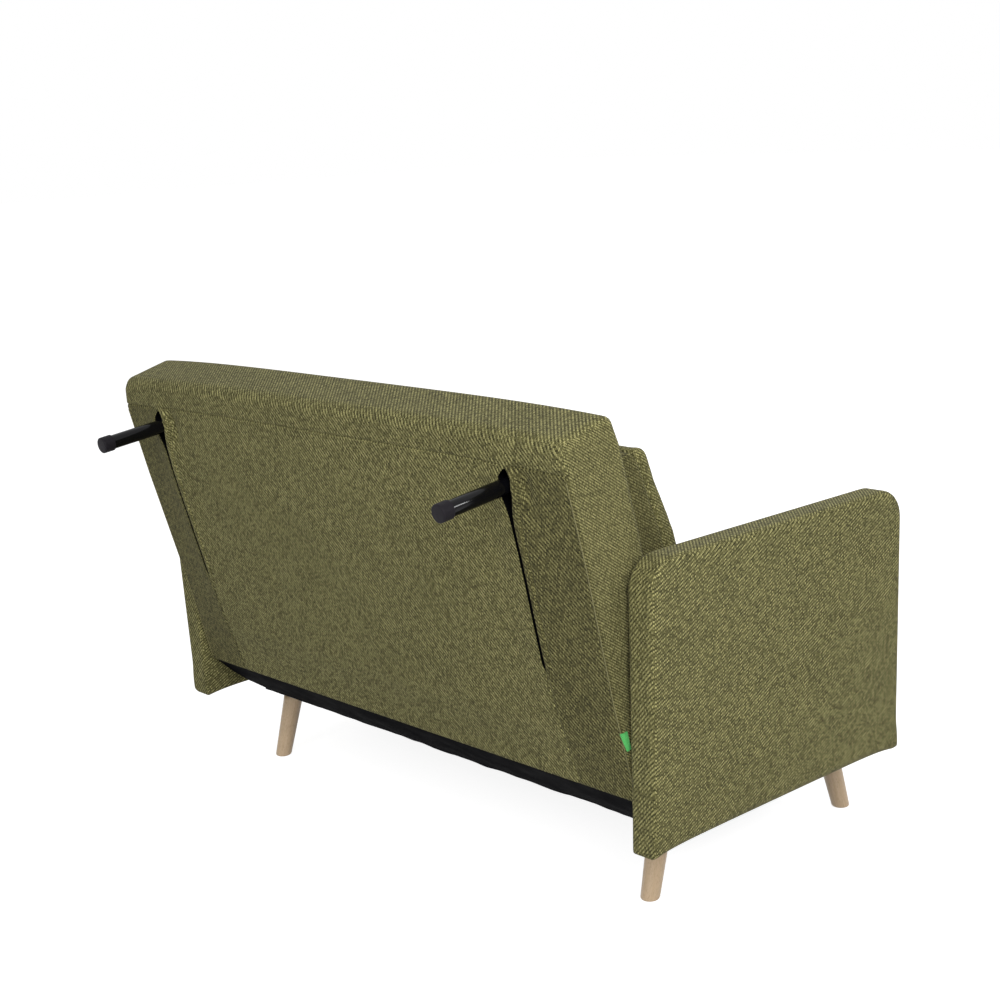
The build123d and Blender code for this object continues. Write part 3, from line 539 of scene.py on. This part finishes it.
def buildBack():
    low, high = backLow, backHigh
    half = (abs(low.x) + abs(high.x)) / 2 - 0.001
    corner = Vector((half, 0, 0))
    obj = addObject("back_cover", startBox(low * Vector((0, 1, 1)) - corner, high * Vector((0, 1, 1)) + corner))
    voxelSkin(obj, backShape["voxel"])
    points = readPoints(obj.data)
    topEdge = np.interp(points[:, 2], (low.z, high.z), backShape["topEdges"])
    radius = backShape["edge"] + (topEdge - backShape["edge"]) * ramp(points[:, 1], *backShape["topBand"])
    writePoints(obj.data, roundedBox(points, (-half, low.y, low.z), (half, high.y, high.z), radius))

    # finer faces beside the slits, then cuts along the slits and the sewn lines
    bm = bmesh.new()
    bm.from_mesh(obj.data)
    rear, seamTop, inset = low.z + 0.02, backShape["seamHeight"], half - backShape["edgeSeam"]
    slitLow, slitTop = slitShape["low"], slitShape["top"]
    bandLow, bandTop = slitShape["bandHeights"]
    for band in slitShape["bands"]:
        for side in sides.values():
            spots = {f: f.calc_center_median() for f in bm.faces if f.normal.z < -0.7}
            faces = [f for f, c in spots.items() if abs(c.x - side * slitX) < band and bandLow < c.y < bandTop]
            bmesh.ops.subdivide_edges(bm, edges=list({e for f in faces for e in f.edges}), cuts=1, use_grid_fill=True)
    cuts = [((0, 1, 0), seamTop + d) for d in backShape["seamCuts"]]
    cuts += [((1, 0, 0), side * (inset + d)) for side in sides.values() for d in backShape["edgeCuts"]]
    cuts += [((1, 0, 0), side * slitX) for side in sides.values()]
    for normal, offset in cuts:
        faces = [f for f in bm.faces if f.normal.z < -0.3 and f.calc_center_median().z < rear]
        geom = list({v for f in faces for v in f.verts}) + list({e for f in faces for e in f.edges}) + faces
        bmesh.ops.bisect_plane(bm, geom=geom, dist=0.0003, plane_co=Vector(normal) * offset, plane_no=normal)

    onSlit = {v for v in bm.verts if abs(abs(v.co.x) - slitX) < 0.0004 and v.co.z < rear and slitLow < v.co.y < slitTop}
    bmesh.ops.split_edges(bm, edges=[e for e in bm.edges if onSlit.issuperset(e.verts)])
    for f in bm.faces:
        c = f.calc_center_median()
        if f.normal.z < -0.5 and abs(c.x) > slitX and c.y < seamTop:
            f.material_index = 2  # side panels outside the slits take the darker twill: painted shade

    # shape the rear cloth: crown, slits, the crease beside them and the sewn lines
    leans = {v: 1 if sum(f.calc_center_median().x - math.copysign(slitX, v.co.x) for f in v.link_faces) > 0 else -1
             for v in bm.verts if v.co.z < rear}
    for v, lean in leans.items():
        x, y = v.co.x, v.co.y
        near = abs(x - math.copysign(slitX, x))
        bow = max(0.0, 1 - (x / half) ** 6) * ramp(y, *backShape["crownFoot"])
        bow *= max(0.0, 1 - ((y - backShape["crownMiddle"]) / backShape["crownReach"]) ** 4)
        v.co.z -= backShape["rearCrown"] * bow
        if near < slitShape["reach"]:
            gap = slitOpening(y)[0 if lean > 0 else 1] if slitLow < y < slitTop else 0.0
            drift = tableValue(y, slitShape["drift"])  # the slit's line wanders downwards
            v.co.x += lean * gap * bell(near, slitShape["lipRun"]) + drift * bell(near, slitShape["driftRun"])
            v.co.z -= slitCloth(y, near, lean)
        if abs(y - seamTop) < 0.004 and near > 0.012:
            v.co.z += backShape["seamDepth"] * bell(y - seamTop, backShape["seamWidth"])
        if abs(abs(x) - inset) < 0.004 and y < backShape["edgeSeamTop"]:
            v.co.z += backShape["edgeSeamDepth"] * bell(abs(x) - inset, backShape["edgeSeamWidth"])
        ripple = noise.noise(Vector((x * 9, y * 7, 3.1))) + 0.5 * noise.noise(Vector((x * 23, y * 17, 8.7)))
        for fromEdge in (half - abs(x), y):
            ripple *= min(1.0, max(0.0, fromEdge / 0.05))
        v.co.z += backShape["ripple"] * ripple
    for v in bm.verts:
        x, y = v.co.x, v.co.y
        v.co.x *= backWidth(y)
        v.co.y += (backShape["topCrown"] - backShape["topDrop"] * (x / half) ** 4) * ramp(y, *backShape["crownBand"])

    # the lips turn in and widen into a pocket that takes the leg; past the lip its walls are black lining, painted
    # shade for the dark inside of the slits
    lips = [e for e in bm.edges if e.is_boundary]
    for depth, width in ((slitPocket["lip"], None), (slitPocket["throat"], None), *slitPocket["walls"]):
        made = bmesh.ops.extrude_edge_only(bm, edges=lips)["geom"]
        for v in ofKind(made, bmesh.types.BMVert):
            x0 = math.copysign(slitX, v.co.x)
            lean = 1 if v.co.x > x0 else -1
            ends = min(v.co.y - slitLow, slitTop - v.co.y) / 0.01
            if width is None:
                v.co.z += depth  # straight in from the lip
            else:
                v.co.z = low.z + depth
                v.co.x = x0 + lean * max(abs(v.co.x - x0), width * min(1.0, max(0.0, ends)))
        # black pocket walls: painted shade inside the slit
        if depth > slitPocket["lip"]:
            for f in ofKind(made, bmesh.types.BMFace):
                f.material_index = 1
        lips = [e for e in ofKind(made, bmesh.types.BMEdge) if e.is_boundary]
    for f in bmesh.ops.holes_fill(bm, edges=lips, sides=0)["faces"]:
        f.material_index = 1
    bmesh.ops.recalc_face_normals(bm, faces=bm.faces)
    bm.to_mesh(obj.data)
    bm.free()
    return obj, half


back, backHalf = buildBack()
backPanels = ((2, 1, 0.00140, 0.00152), (0, 2, -0.0020, 0.0020), (0, 1, -0.0021, 0.0025))
finishSoft(back, backPlace, backPanels, "backrest", "back_pad")
# slot 1: black lining for the pocket walls, painted shade inside the slits
back.data.materials.append(blackLining)
# slot 2: the darker twill, painted shade on the side panels outside the slits
back.data.materials.append(oliveTwillPaintedShade)


# arms: boards wrapped in thin padding, with large rounded upper corners
armShape = {
    "voxel": 0.005, "topCorner": 0.058, "footCorner": 0.006, "thickness": 0.0545, "swell": 0.0035,
    "flare": math.tan(math.radians(2)), "setBack": 0.007, "sink": 0.004, "edge": 0.012, "innerEdge": 0.005,
    "footEdge": 0.0035, "outerFoot": 0.008, "footBand": (0.01, 0.07), "crown": 0.0035, "innerCrown": 0.001,
    "crownReach": 0.25, "ripple": 0.0005, "drawnUp": (0.0012, 0.0065), "drawnFrom": 0.042, "drawnRun": 0.07,
    "cornerDrop": 0.0085}


def buildArm(side, name):
    low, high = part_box("arm_cover_" + name)
    thick = armShape["thickness"]
    inner = min(abs(low.x), abs(high.x)) - armShape["swell"]
    front, rearEnd, bottom, top = low.y, high.y - armShape["setBack"], low.z, high.z - armShape["sink"]

    def acrossTop(e):
        a, b = (v.co for v in e.verts)
        return min(a.z, b.z) > top - 1e-4 and abs(a.x - b.x) > 0.01

    def alongArm(y):
        return (y - (front + rearEnd) / 2) / ((rearEnd - front) / 2)

    bm = startBox(Vector((inner, front, bottom)), Vector((inner + thick, rearEnd, top)))
    roundEdges(bm, acrossTop, armShape["topCorner"], 16)
    obj = addObject("arm_" + name, bm)
    voxelSkin(obj, armShape["voxel"])

    # points near an edge go onto a round between the side view's outline and the two faces
    points = readPoints(obj.data)
    x, y, z = points.T
    middle = inner + thick / 2
    corner = np.where(z > (bottom + top) / 2, armShape["topCorner"], armShape["footCorner"])
    core = np.stack((np.clip(y, front + corner, rearEnd - corner), np.clip(z, bottom + corner, top - corner)), 1)
    away = points[:, 1:] - core
    reach = np.linalg.norm(away, axis=1)
    edge = np.where(x > middle, armShape["edge"], armShape["innerEdge"])
    footEdge = np.where(x > middle, armShape["outerFoot"], 0) * np.clip(1 - alongArm(y) ** 4, 0, 1)
    footEdge += armShape["footEdge"]
    edge = footEdge + (edge - footEdge) * ramp(z - bottom, *armShape["footBand"])
    fromRim = np.maximum(edge - np.maximum(corner - reach, 0), 0)
    fromFace = np.maximum(edge - np.maximum(thick / 2 - np.abs(x - middle), 0), 0)
    scale = edge / np.maximum(np.hypot(fromRim, fromFace), 1e-9)
    newReach = corner - edge + fromRim * scale
    onRim = fromRim > 0
    points[onRim, 1:] = (core + away / np.maximum(reach, 1e-9)[:, None] * newReach[:, None])[onRim]
    onFace = fromFace > 0
    points[onFace, 0] = (middle + np.sign(x - middle) * (thick / 2 - edge + fromFace * scale))[onFace]

    # slightly puffed faces, a lower edge that is drawn up between its corners, then the lean outwards and back
    x, y, z = points.T
    along, up = alongArm(y), (z - (bottom + top) / 2) / armShape["crownReach"]
    flat = np.clip(1 - along ** 6, 0, 1) * np.clip(1 - up ** 6, 0, 1)
    ripple = fineNoise(points * np.array((0, 1, 1)), 11, side * 5) * flat
    points[:, 0] += np.where(x > middle, armShape["crown"], -armShape["innerCrown"]) * flat
    points[:, 0] += armShape["ripple"] * ripple
    everywhere, outside = armShape["drawnUp"]
    drawnUp = everywhere + outside * ramp(x - inner, armShape["drawnFrom"], thick) - armShape["cornerDrop"] * along ** 8
    points[:, 2] += drawnUp * bell(z - bottom, armShape["drawnRun"])
    rise = (points[:, 2] - bottom) / (top - bottom)
    points[:, 0] = side * (points[:, 0] + rise * (top - bottom) * armShape["flare"])
    points[:, 1] += rise * armShape["setBack"]
    writePoints(obj.data, points)
    if side < 0:
        obj.data.flip_normals()
    return obj


armPanels = ((1, 2, 0.0031, 0.00157), (0, 2, 0.0018, 0.0020), (0, 1, 0.0019, 0.0019))
for name, side in sides.items():
    finishSoft(buildArm(side, name), flatPlace, armPanels, "base", "arm_cover_" + name)


# loose back cushions
cushionShape = {
    "voxel": 0.0065, "seamVoxel": 0.004, "pressure": 4.0, "cap": 0.005, "rise": 0.004, "edge": 0.014,
    "lowRoom": (0.002, 0, 0), "highRoom": (0.002, 0.003, 0.006), "seam": 0.70, "seamDepth": 0.007,
    "seamWidth": 0.0035, "seamReach": 0.02, "pull": 0.0016, "seeds": {"left": 4.0, "right": 9.0},
    "profile": ((0.0, 0.072), (0.15, 0.106), (0.30, 0.118), (0.40, 0.113), (0.45, 0.104), (0.50, 0.095),
                (0.55, 0.085), (0.57, 0.080))}


def cushionSeam(height):
    return cushionShape["seam"] * tableValue(height, cushionShape["profile"])


def buildCushion(name):
    # a boxed cushion, thickest below its middle, that is held at the back and swells a little in front
    low, high = nodeSpan("back_cushion_" + name, backPlace)
    high.y += cushionShape["rise"]
    obj = addObject("cushion_" + name, startBox(low, high))
    voxelSkin(obj, cushionShape["voxel"])
    points = readPoints(obj.data)
    points = roundedBox(points, low, high, np.full(len(points), cushionShape["edge"]))
    points[:, 2] *= tableValue(points[:, 1], cushionShape["profile"]) / high.z
    writePoints(obj.data, points)
    puffUp(obj, cushionShape, low.z)
    voxelSkin(obj, cushionShape["seamVoxel"])
    points = np.maximum(readPoints(obj.data), np.array(low) - cushionShape["lowRoom"])
    points = np.minimum(points, np.array(high) + cushionShape["highRoom"])
    x, y, z = points.T
    half, middle = (high - low) / 2, (low + high) / 2
    edgeX, edgeY = half.x - np.abs(x - middle.x), half.y - np.abs(y - middle.y)
    seam = cushionShape["seamDepth"] * bell(z - cushionSeam(y), cushionShape["seamWidth"])
    seam *= bell(np.maximum(np.minimum(edgeX, edgeY), 0), cushionShape["seamReach"])
    points[:, 0] -= seam * np.sign(x - middle.x) * (edgeX <= edgeY + 0.01)
    points[:, 1] -= seam * np.sign(y - middle.y) * (edgeY <= edgeX + 0.01)
    pull = cushionShape["pull"] * fineNoise(points, 22, cushionShape["seeds"][name])
    points[:, 2] += pull * np.clip((z - low.z) / 0.05, 0, 1)
    writePoints(obj.data, points)
    return obj


cushionPanels = ((2, 1, 0.0015, 0.0015), (0, 2, 0.0020, 0.0020), (0, 1, -0.0021, 0.0024))
toBack = backPlace.inverted()
for name in sides:
    cushion = buildCushion(name)
    finishSoft(cushion, backPlace, cushionPanels, "cushion_" + name, "back_cushion_" + name)
    cushion.data.materials.append(oliveTwillPaintedShade)
    for face in cushion.data.polygons:  # the boxing behind the seam takes the darker twill: painted shade on the cushion's sides
        spot, facing = toBack @ face.center, toBack.to_3x3() @ face.normal
        face.material_index = int(spot.z < cushionSeam(spot.y) and abs(facing.z) < 0.6)


# the seat sections and the cover of the base's front
seatShape = {
    "voxel": 0.0065, "pressure": 4.0, "cap": 0.008, "start": (0.997, 0.99, 0.95), "room": (0, 0, 0.005),
    "seam": 0.0025, "seamDrop": 0.022, "seamWidth": 0.004, "ripple": 0.0010, "smoothing": 3, "dips": 0.0008}


def softCopy(name, source):
    # a merged copy of a CAD pad with an even skin
    bm = bmesh.new()
    bm.from_mesh(nodes[source].data)
    bmesh.ops.remove_doubles(bm, verts=bm.verts, dist=1e-5)
    obj = addObject(name, bm)
    voxelSkin(obj, seatShape["voxel"])
    return obj


def buildSeat():
    low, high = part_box("upper_seat_pad")
    obj = softCopy("seat_upper", "upper_seat_pad")
    middle = np.array((low + high) / 2)
    writePoints(obj.data, middle + (readPoints(obj.data) - middle) * np.array(seatShape["start"]))
    puffUp(obj, seatShape, low.z)
    points = np.minimum(np.maximum(readPoints(obj.data), np.array(low)), np.array(high) + seatShape["room"])
    seam = seatShape["seam"] * bell(points[:, 2] - (high.z - seatShape["seamDrop"]), seatShape["seamWidth"])
    front = points[:, 1] < low.y + 0.02
    points[front, 1] += seam[front]
    ripple = seatShape["ripple"] * fineNoise(points, 14, 6.0)
    points[:, 2] += ripple * np.clip((points[:, 2] - low.z) / 0.05, 0, 1)
    writePoints(obj.data, points)
    return obj


def buildLowerSeat():
    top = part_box("lower_seat_pad")[1].z
    obj = softCopy("seat_lower", "lower_seat_pad")
    bm = bmesh.new()
    bm.from_mesh(obj.data)
    for _ in range(seatShape["smoothing"]):
        bmesh.ops.smooth_vert(bm, verts=bm.verts, factor=0.5, use_axis_x=True, use_axis_y=True, use_axis_z=True)
    for v in bm.verts:
        v.co.z -= seatShape["dips"] * (1 + noise.noise(v.co * 13)) * (v.co.z > top - 0.01)
    bm.to_mesh(obj.data)
    bm.free()
    return obj


# cuts: across edges along an axis that are longer than this, and how many
frontPanel = {"cuts": ((0, 0.1, 60), (2, 0.03, 8)), "crown": 0.0012, "edge": 0.0012}


def buildFrontPanel():
    low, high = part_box("base_front_cover")
    bm = startBox(low, high)
    roundEdges(bm, lambda e: all(v.co.y < low.y + 1e-4 for v in e.verts), frontPanel["edge"], 3)
    for axis, least, count in frontPanel["cuts"]:
        edges = [e for e in bm.edges if abs(e.verts[0].co[axis] - e.verts[1].co[axis]) > least]
        bmesh.ops.subdivide_edges(bm, edges=edges, cuts=count, use_grid_fill=True)
    for v in bm.verts:
        if v.co.y < low.y + 0.002:
            bow = math.sin(math.pi * (v.co.z - low.z) / (high.z - low.z))
            v.co.y -= frontPanel["crown"] * bow * (0.8 + 0.4 * noise.noise(v.co * 18))
    return addObject("base_front_panel", bm)


seatPanels = ((1, 2, 0.0022, 0.0020), (0, 2, 0.0022, 0.0020), (0, 1, 0.0022, 0.0022))
finishSoft(buildSeat(), flatPlace, seatPanels, "upper_seat", "upper_seat_pad")
finishSoft(buildLowerSeat(), flatPlace, seatPanels, "base", "lower_seat_pad")
finishSoft(buildFrontPanel(), flatPlace, seatPanels, "base", "base_front_cover")


# black lining under the base and up the rear rail, with a slack lower edge
liningShape = {
    "stepsX": 180, "stepsY": 84, "rise": 0.0575, "risers": 10, "slack": 0.0045, "drop": 0.0022, "wave": 0.0030,
    "bulge": 0.003, "legReach": 0.12}
liningLow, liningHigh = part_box("base_lining")


def edgeWave(x):
    return noise.noise(Vector((x * 11, 0.4, 2.0))) + 0.6 * noise.noise(Vector((x * 31, 1.7, 5.0)))


def edgeDrop(x):
    return liningShape["wave"] * edgeWave(x) - liningShape["drop"]


def buildLining():
    low, high = liningLow, liningHigh
    bm = bmesh.new()
    bmesh.ops.create_grid(bm, x_segments=liningShape["stepsX"], y_segments=liningShape["stepsY"], size=0.5)
    bmesh.ops.scale(bm, vec=(high.x - low.x, high.y - low.y - 0.002, 1), verts=bm.verts)
    bmesh.ops.translate(bm, vec=(0, (low.y + high.y) / 2, low.z + 0.0006), verts=bm.verts)
    rearY = max(v.co.y for v in bm.verts)
    edges = [e for e in bm.edges if all(v.co.y > rearY - 1e-5 for v in e.verts)]
    for step in range(liningShape["risers"]):
        made = bmesh.ops.extrude_edge_only(bm, edges=edges)["geom"]
        fresh = ofKind(made, bmesh.types.BMVert)
        bmesh.ops.translate(bm, vec=(0, 0, liningShape["rise"] / liningShape["risers"]), verts=fresh)
        edges = [e for e in ofKind(made, bmesh.types.BMEdge) if all(v in fresh for v in e.verts)]
    legSpots = [sum(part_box(n), Vector()) / 2 for n in nodes if n.startswith("leg_") and n.count("_") == 2]
    for v in bm.verts:
        x, y, z = v.co
        v.co.z += bell(z - low.z, 0.02) * bell(y - rearY, 0.03) * edgeDrop(x)
        bulge = liningShape["bulge"] * (1 + edgeWave(x))
        v.co.y += bulge * bell(z - low.z - 0.012, 0.02) * bell(y - rearY, 0.012)
        free = min(1.0, min((Vector((x, y)) - Vector(p[:2])).length for p in legSpots) / liningShape["legReach"])
        sag = noise.noise(Vector((x * 5, y * 6, 1.0)))
        if y < rearY - 1e-4:
            v.co.z -= liningShape["slack"] * free ** 2 * (0.5 + 0.5 * sag) * min(1.0, (rearY - y) / 0.05)
    return addSurface("lining", bm)


bridgeShape = {"stepsX": 170, "stepsY": 14, "half": 0.633, "slack": 0.005, "endRise": 0.30, "endWidth": 0.045}


def buildBridge():
    # slack lining from the base's lower rear edge to the lower edge of the back
    start = Vector((0, liningHigh.y, liningLow.z))
    end = backPlace @ Vector((0, backLow.y + 0.001, backLow.z + 0.004))
    outward = Vector((0, end.z - start.z, start.y - end.y)).normalized()
    bm = bmesh.new()
    bmesh.ops.create_grid(bm, x_segments=bridgeShape["stepsX"], y_segments=bridgeShape["stepsY"], size=0.5)
    half = bridgeShape["half"]
    for v in bm.verts:
        x, share = v.co.x * 2 * half, v.co.y + 0.5
        first = bridgeShape["endRise"] * ramp(abs(x), half - bridgeShape["endWidth"], half)
        share = first + (1 - first) * share
        sway = 0.6 + 0.5 * noise.noise(Vector((x * 7, share * 2, 4.0)))
        hang = bridgeShape["slack"] * math.sin(math.pi * share) * sway
        v.co = Vector((x, 0, 0)) + start.lerp(end, share) + outward * hang
        v.co.z += (1 - share) ** 4 * edgeDrop(x)
    return addSurface("lining_bridge", bm), start, end


def finishLining(obj):
    layWeave(obj, seatPanels)
    smoothShade(obj)
    obj.data.materials.append(blackLining)
    print("lining made:", obj.name, len(obj.data.polygons), "faces")


lining = buildLining()
finishLining(lining)
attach(lining, "base")
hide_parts("base_lining")
bridge, bridgeStart, bridgeEnd = buildBridge()
finishLining(bridge)
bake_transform(bridge)


# a plain green ribbon, folded once and sewn into the back's right rear edge; it lies over onto the rear face
tagShape = {
    "low": 0.106, "height": 0.034, "inGap": 0.005, "topLength": 0.0122, "footLength": 0.0082, "rows": 14, "steps": 8,
    "lift": 0.0006, "fold": 0.0008, "thread": 0.0007}


def roundTheEdge(run):
    # from the back's end face round its rear edge onto the rear face: place from the corner, and outward direction
    r, inGap = backShape["edge"], tagShape["inGap"]
    if run < inGap:
        return Vector((0, 0, r + inGap - run)), Vector((-1, 0, 0))
    turn = min(math.pi / 2, (run - inGap) / r)
    beyond = max(0.0, run - inGap - r * math.pi / 2)
    out = Vector((-math.cos(turn), 0, -math.sin(turn)))
    return Vector((r + beyond, 0, r)) + out * r, out


def buildTag():
    steps, lift, fold = tagShape["steps"], tagShape["lift"], tagShape["fold"]
    profile = [(s / steps, lift) for s in range(steps + 1)]
    profile += [(1 + 0.05 * math.sin(a), lift + fold * (1 - math.cos(a))) for a in (0.8, 1.57, 2.35)]
    profile += [(s / steps, lift + 2 * fold) for s in range(steps, -1, -1)]
    bm = bmesh.new()
    grid = []
    for row in range(tagShape["rows"] + 1):
        share = row / tagShape["rows"]
        y = tagShape["low"] + tagShape["height"] * share
        length = tagShape["footLength"] + (tagShape["topLength"] - tagShape["footLength"]) * share
        corner = Vector((-backHalf * backWidth(y), y, backLow.z))
        line = []
        for across, above in profile:
            spot, out = roundTheEdge(across * length)
            line.append(bm.verts.new(corner + spot + out * above))
        grid.append(line)
    joinRows(bm, grid)
    return addSurface("side_ribbon", bm)


tag = buildTag()
layWeave(tag, [(*axes, tagShape["thread"], tagShape["thread"]) for axes in ((2, 1), (0, 2), (0, 1))])
tag.data.transform(backPlace)
dress(tag, greenRibbon, "backrest")
print("ribbon made:", len(tag.data.polygons), "faces")


# turned wooden legs
legShape = {"footR": 0.0175, "headR": 0.0215, "round": 0.0045, "splay": (0.004, 0.038), "turns": 56, "rings": 14}
footSpots = {m["name"]: Vector(m["pos_m"]) for m in frame["record"]["mounts"]}
quarterTurns = [step / 6 * math.pi / 2 for step in range(7)]


def spinPiece(name, profile, turns, place):
    # a profile of radius and height, turned about its own Z
    bm = bmesh.new()
    verts = [bm.verts.new((r, 0, h)) for r, h in profile]
    edges = [bm.edges.new(pair) for pair in zip(verts, verts[1:])]
    bmesh.ops.spin(bm, geom=verts + edges, cent=(0, 0, 0), axis=(0, 0, 1), angle=math.tau, steps=turns, use_merge=True)
    bmesh.ops.remove_doubles(bm, verts=bm.verts, dist=1e-5)
    bmesh.ops.recalc_face_normals(bm, faces=bm.faces)
    bmesh.ops.transform(bm, matrix=place, verts=bm.verts)
    return addObject(name, bm)


def buildLeg(name):
    foot = footSpots[name.replace("leg_", "foot_")]
    shift = Vector((-math.copysign(legShape["splay"][0], foot.x), -math.copysign(legShape["splay"][1], foot.y), 0))
    height, r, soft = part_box(name)[1].z, legShape["footR"], legShape["round"]
    profile = [(0, 0), (r - soft, 0)]
    profile += [(r - soft + soft * math.sin(turn), soft - soft * math.cos(turn)) for turn in quarterTurns[1:]]
    for step in range(1, legShape["rings"] + 1):
        share = step / legShape["rings"]
        profile.append((r + (legShape["headR"] - r) * share, soft + (height - soft) * share))
    profile.append((0, height))
    obj = spinPiece(name + "_turned", profile, legShape["turns"], flatPlace)
    points = readPoints(obj.data)
    grain = obj.data.attributes.new("grain", "FLOAT_VECTOR", "POINT")
    grain.data.foreach_set("vector", (points + np.array((foot.x * 3, foot.y * 5, 0))).astype(np.float32).ravel())
    points += np.array(foot) + np.array(shift) * (points[:, 2:3] / height)
    writePoints(obj.data, points)
    dress(obj, beechLeg, "base")
    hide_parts(name)


for end in ("front", "rear"):
    for name in sides:
        buildLeg("leg_" + end + "_" + name)
print("legs turned: 4")


# fold-out tube legs with plastic end caps
tubeShape = {
    "radius": 0.014, "start": -0.0165, "rim": 0.001, "stop": 0.004, "turns": 48, "capRadius": 0.016,
    "capLength": 0.024, "capRound": 0.0026, "capPlay": 0.0002, "capRim": 0.0008}


def buildTubeLeg(name):
    pivot = Vector(joints["head_leg_" + name + "_fold"]["pos_m"])
    middle = sum(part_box("head_leg_cap_" + name), Vector()) / 2
    axis = (middle - pivot).normalized()
    place = Matrix.Translation(pivot) @ axis.to_track_quat("Z", "Y").to_matrix().to_4x4()
    end = (middle - pivot).length + tubeShape["capLength"] / 2
    r, start, rim, stop = tubeShape["radius"], tubeShape["start"], tubeShape["rim"], end - tubeShape["stop"]
    tube = [(0, start), (r - rim, start), (r, start + rim), (r, start + 0.003), (r, end - 0.030), (r, stop), (0, stop)]
    capR, soft, rim = tubeShape["capRadius"], tubeShape["capRound"], tubeShape["capRim"]
    bore, capFoot = r + tubeShape["capPlay"], end - tubeShape["capLength"]
    cap = [(bore, capFoot + 0.0015), (bore, capFoot), (capR - rim, capFoot), (capR, capFoot + rim),
           (capR, end - soft - 0.0016)]
    cap += [(capR - soft + soft * math.cos(turn), end - soft + soft * math.sin(turn)) for turn in quarterTurns]
    cap += [(capR - soft - 0.003, end + 0.0001), (0.006, end + 0.0004), (0, end + 0.0004)]
    pieces = (("tube", tube, blackCoat, "black_steel"), ("cap", cap, blackPlastic, "black_plastic"))
    for kind, profile, material, slotName in pieces:
        obj = spinPiece("support_" + kind + "_" + name, profile, tubeShape["turns"], place)
        dress(obj, material, "head_leg_" + name)
        obj.data.set_sharp_from_angle(angle=math.radians(40))
        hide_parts("head_leg_" + kind + "_" + name)


for name in sides:
    buildTubeLeg(name)
print("tube legs made: 2")


# a stitched welt down the rear side edges of the back
weltShape = {
    "pitch": 0.0031, "thick": 0.0012, "thin": 0.0006, "inset": 0.0036, "low": 0.012, "high": 0.596, "sides": 8,
    "sink": 0.0002}


def buildWelt():
    bm = bmesh.new()
    count = int(2 * (weltShape["high"] - weltShape["low"]) / weltShape["pitch"])
    turns = [math.tau * k / weltShape["sides"] for k in range(weltShape["sides"])]
    for side in sides.values():
        rings = []
        for step in range(count + 1):
            y = weltShape["low"] + step * weltShape["pitch"] / 2
            x, z = side * (backHalf * backWidth(y) - weltShape["inset"]), backLow.z + weltShape["sink"]
            r = weltShape["thick"] if step % 2 else weltShape["thin"]
            rings.append([bm.verts.new((x + r * math.cos(a), y, z + r * math.sin(a))) for a in turns])
        joinRows(bm, [ring + ring[:1] for ring in rings])
        bm.faces.new(rings[0])
        bm.faces.new(rings[-1])
    obj = addSurface("back_welt", bm)
    obj.data.transform(backPlace)
    dress(obj, oliveThread, "backrest")


buildWelt()
print("welt sewn")


# camera, floor and light
cameraShape = {
    "spot": (-2.549, 2.2075, 1.380), "yaw": 48.04, "pitch": 12.57, "roll": -3.02, "focal": 1764.0, "sensor": 36}
glowLevels = {"floor": 0.86, "worldSeen": 0.62, "worldLight": 0.38}


def addCamera():
    yaw, pitch, roll = (math.radians(cameraShape[k]) for k in ("yaw", "pitch", "roll"))
    data = bpy.data.cameras.new("photoCamera")
    data.sensor_width = cameraShape["sensor"]
    data.lens = cameraShape["focal"] / 1000 * cameraShape["sensor"]
    data.clip_start, data.clip_end = 0.05, 100
    camera = bpy.data.objects.new("photoCamera", data)
    turn = Matrix.Rotation(math.pi + yaw, 4, "Z") @ Matrix.Rotation(math.pi / 2 - pitch, 4, "X")
    camera.matrix_world = Matrix.Translation(cameraShape["spot"]) @ turn @ Matrix.Rotation(roll, 4, "Z")
    scene.collection.objects.link(camera)
    scene.camera = camera


def seenRays(tree):
    path = tree.nodes.new("ShaderNodeLightPath").outputs
    return maths(tree, "MAXIMUM", path["Is Camera Ray"], path["Is Glossy Ray"])


def addFloor():
    bm = bmesh.new()
    bmesh.ops.create_grid(bm, x_segments=1, y_segments=1, size=30)
    floor = addObject("floor", bm)
    material, tree, shader = newMaterial("paleFloor")
    setInputs(shader, {"Base Color": (0.60, 0.60, 0.60, 1), "Roughness": 0.9, "Specular IOR Level": 0.0})
    strength = maths(tree, "MULTIPLY", seenRays(tree), glowLevels["floor"])
    glow = addNode(tree, "ShaderNodeEmission", (1, 1, 1, 1), strength)
    both = addNode(tree, "ShaderNodeAddShader", shader.outputs[0], glow.outputs[0])
    tree.links.new(both.outputs[0], tree.nodes["Material Output"].inputs["Surface"])
    floor.data.materials.append(material)


def addWorld():
    world = bpy.data.worlds.new("studio")
    world.use_nodes = True
    tree = world.node_tree
    glow = tree.nodes["Background"].inputs
    glow["Color"].default_value = (1, 1, 1, 1)
    level = maths(tree, "MULTIPLY_ADD", seenRays(tree), glowLevels["worldSeen"], glowLevels["worldLight"])
    tree.links.new(level, glow["Strength"])
    scene.world = world


def addSoftLight(name, spot, target, size, power):
    data = bpy.data.lights.new(name, "AREA")
    data.shape = "SQUARE"
    data.size = size
    data.energy = power
    lamp = bpy.data.objects.new(name, data)
    aim = Vector(target) - Vector(spot)
    lamp.matrix_world = Matrix.Translation(spot) @ aim.to_track_quat("-Z", "Y").to_matrix().to_4x4()
    scene.collection.objects.link(lamp)


# place, aim, size and power
lights = {"keyRight": ((-3.3, 1.9, 2.8), (0, 0, 0.4), 2.2, 96.0),
          "fillRear": ((-1.6, 4.2, 2.4), (0, 0, 0.4), 2.6, 56.0),
          "fillFront": ((1.5, -4.0, 2.8), (0, 0, 0.4), 3.0, 45.0),
          "sideStreak": ((-3.4, -1.6, 2.2), (-0.5, 0.45, 0.77), 0.5, 24.0)}
addCamera()
addFloor()
addWorld()
for name, (spot, target, size, power) in lights.items():
    addSoftLight(name, spot, target, size, power)
scene.view_settings.view_transform = "Standard"
print("stage set")
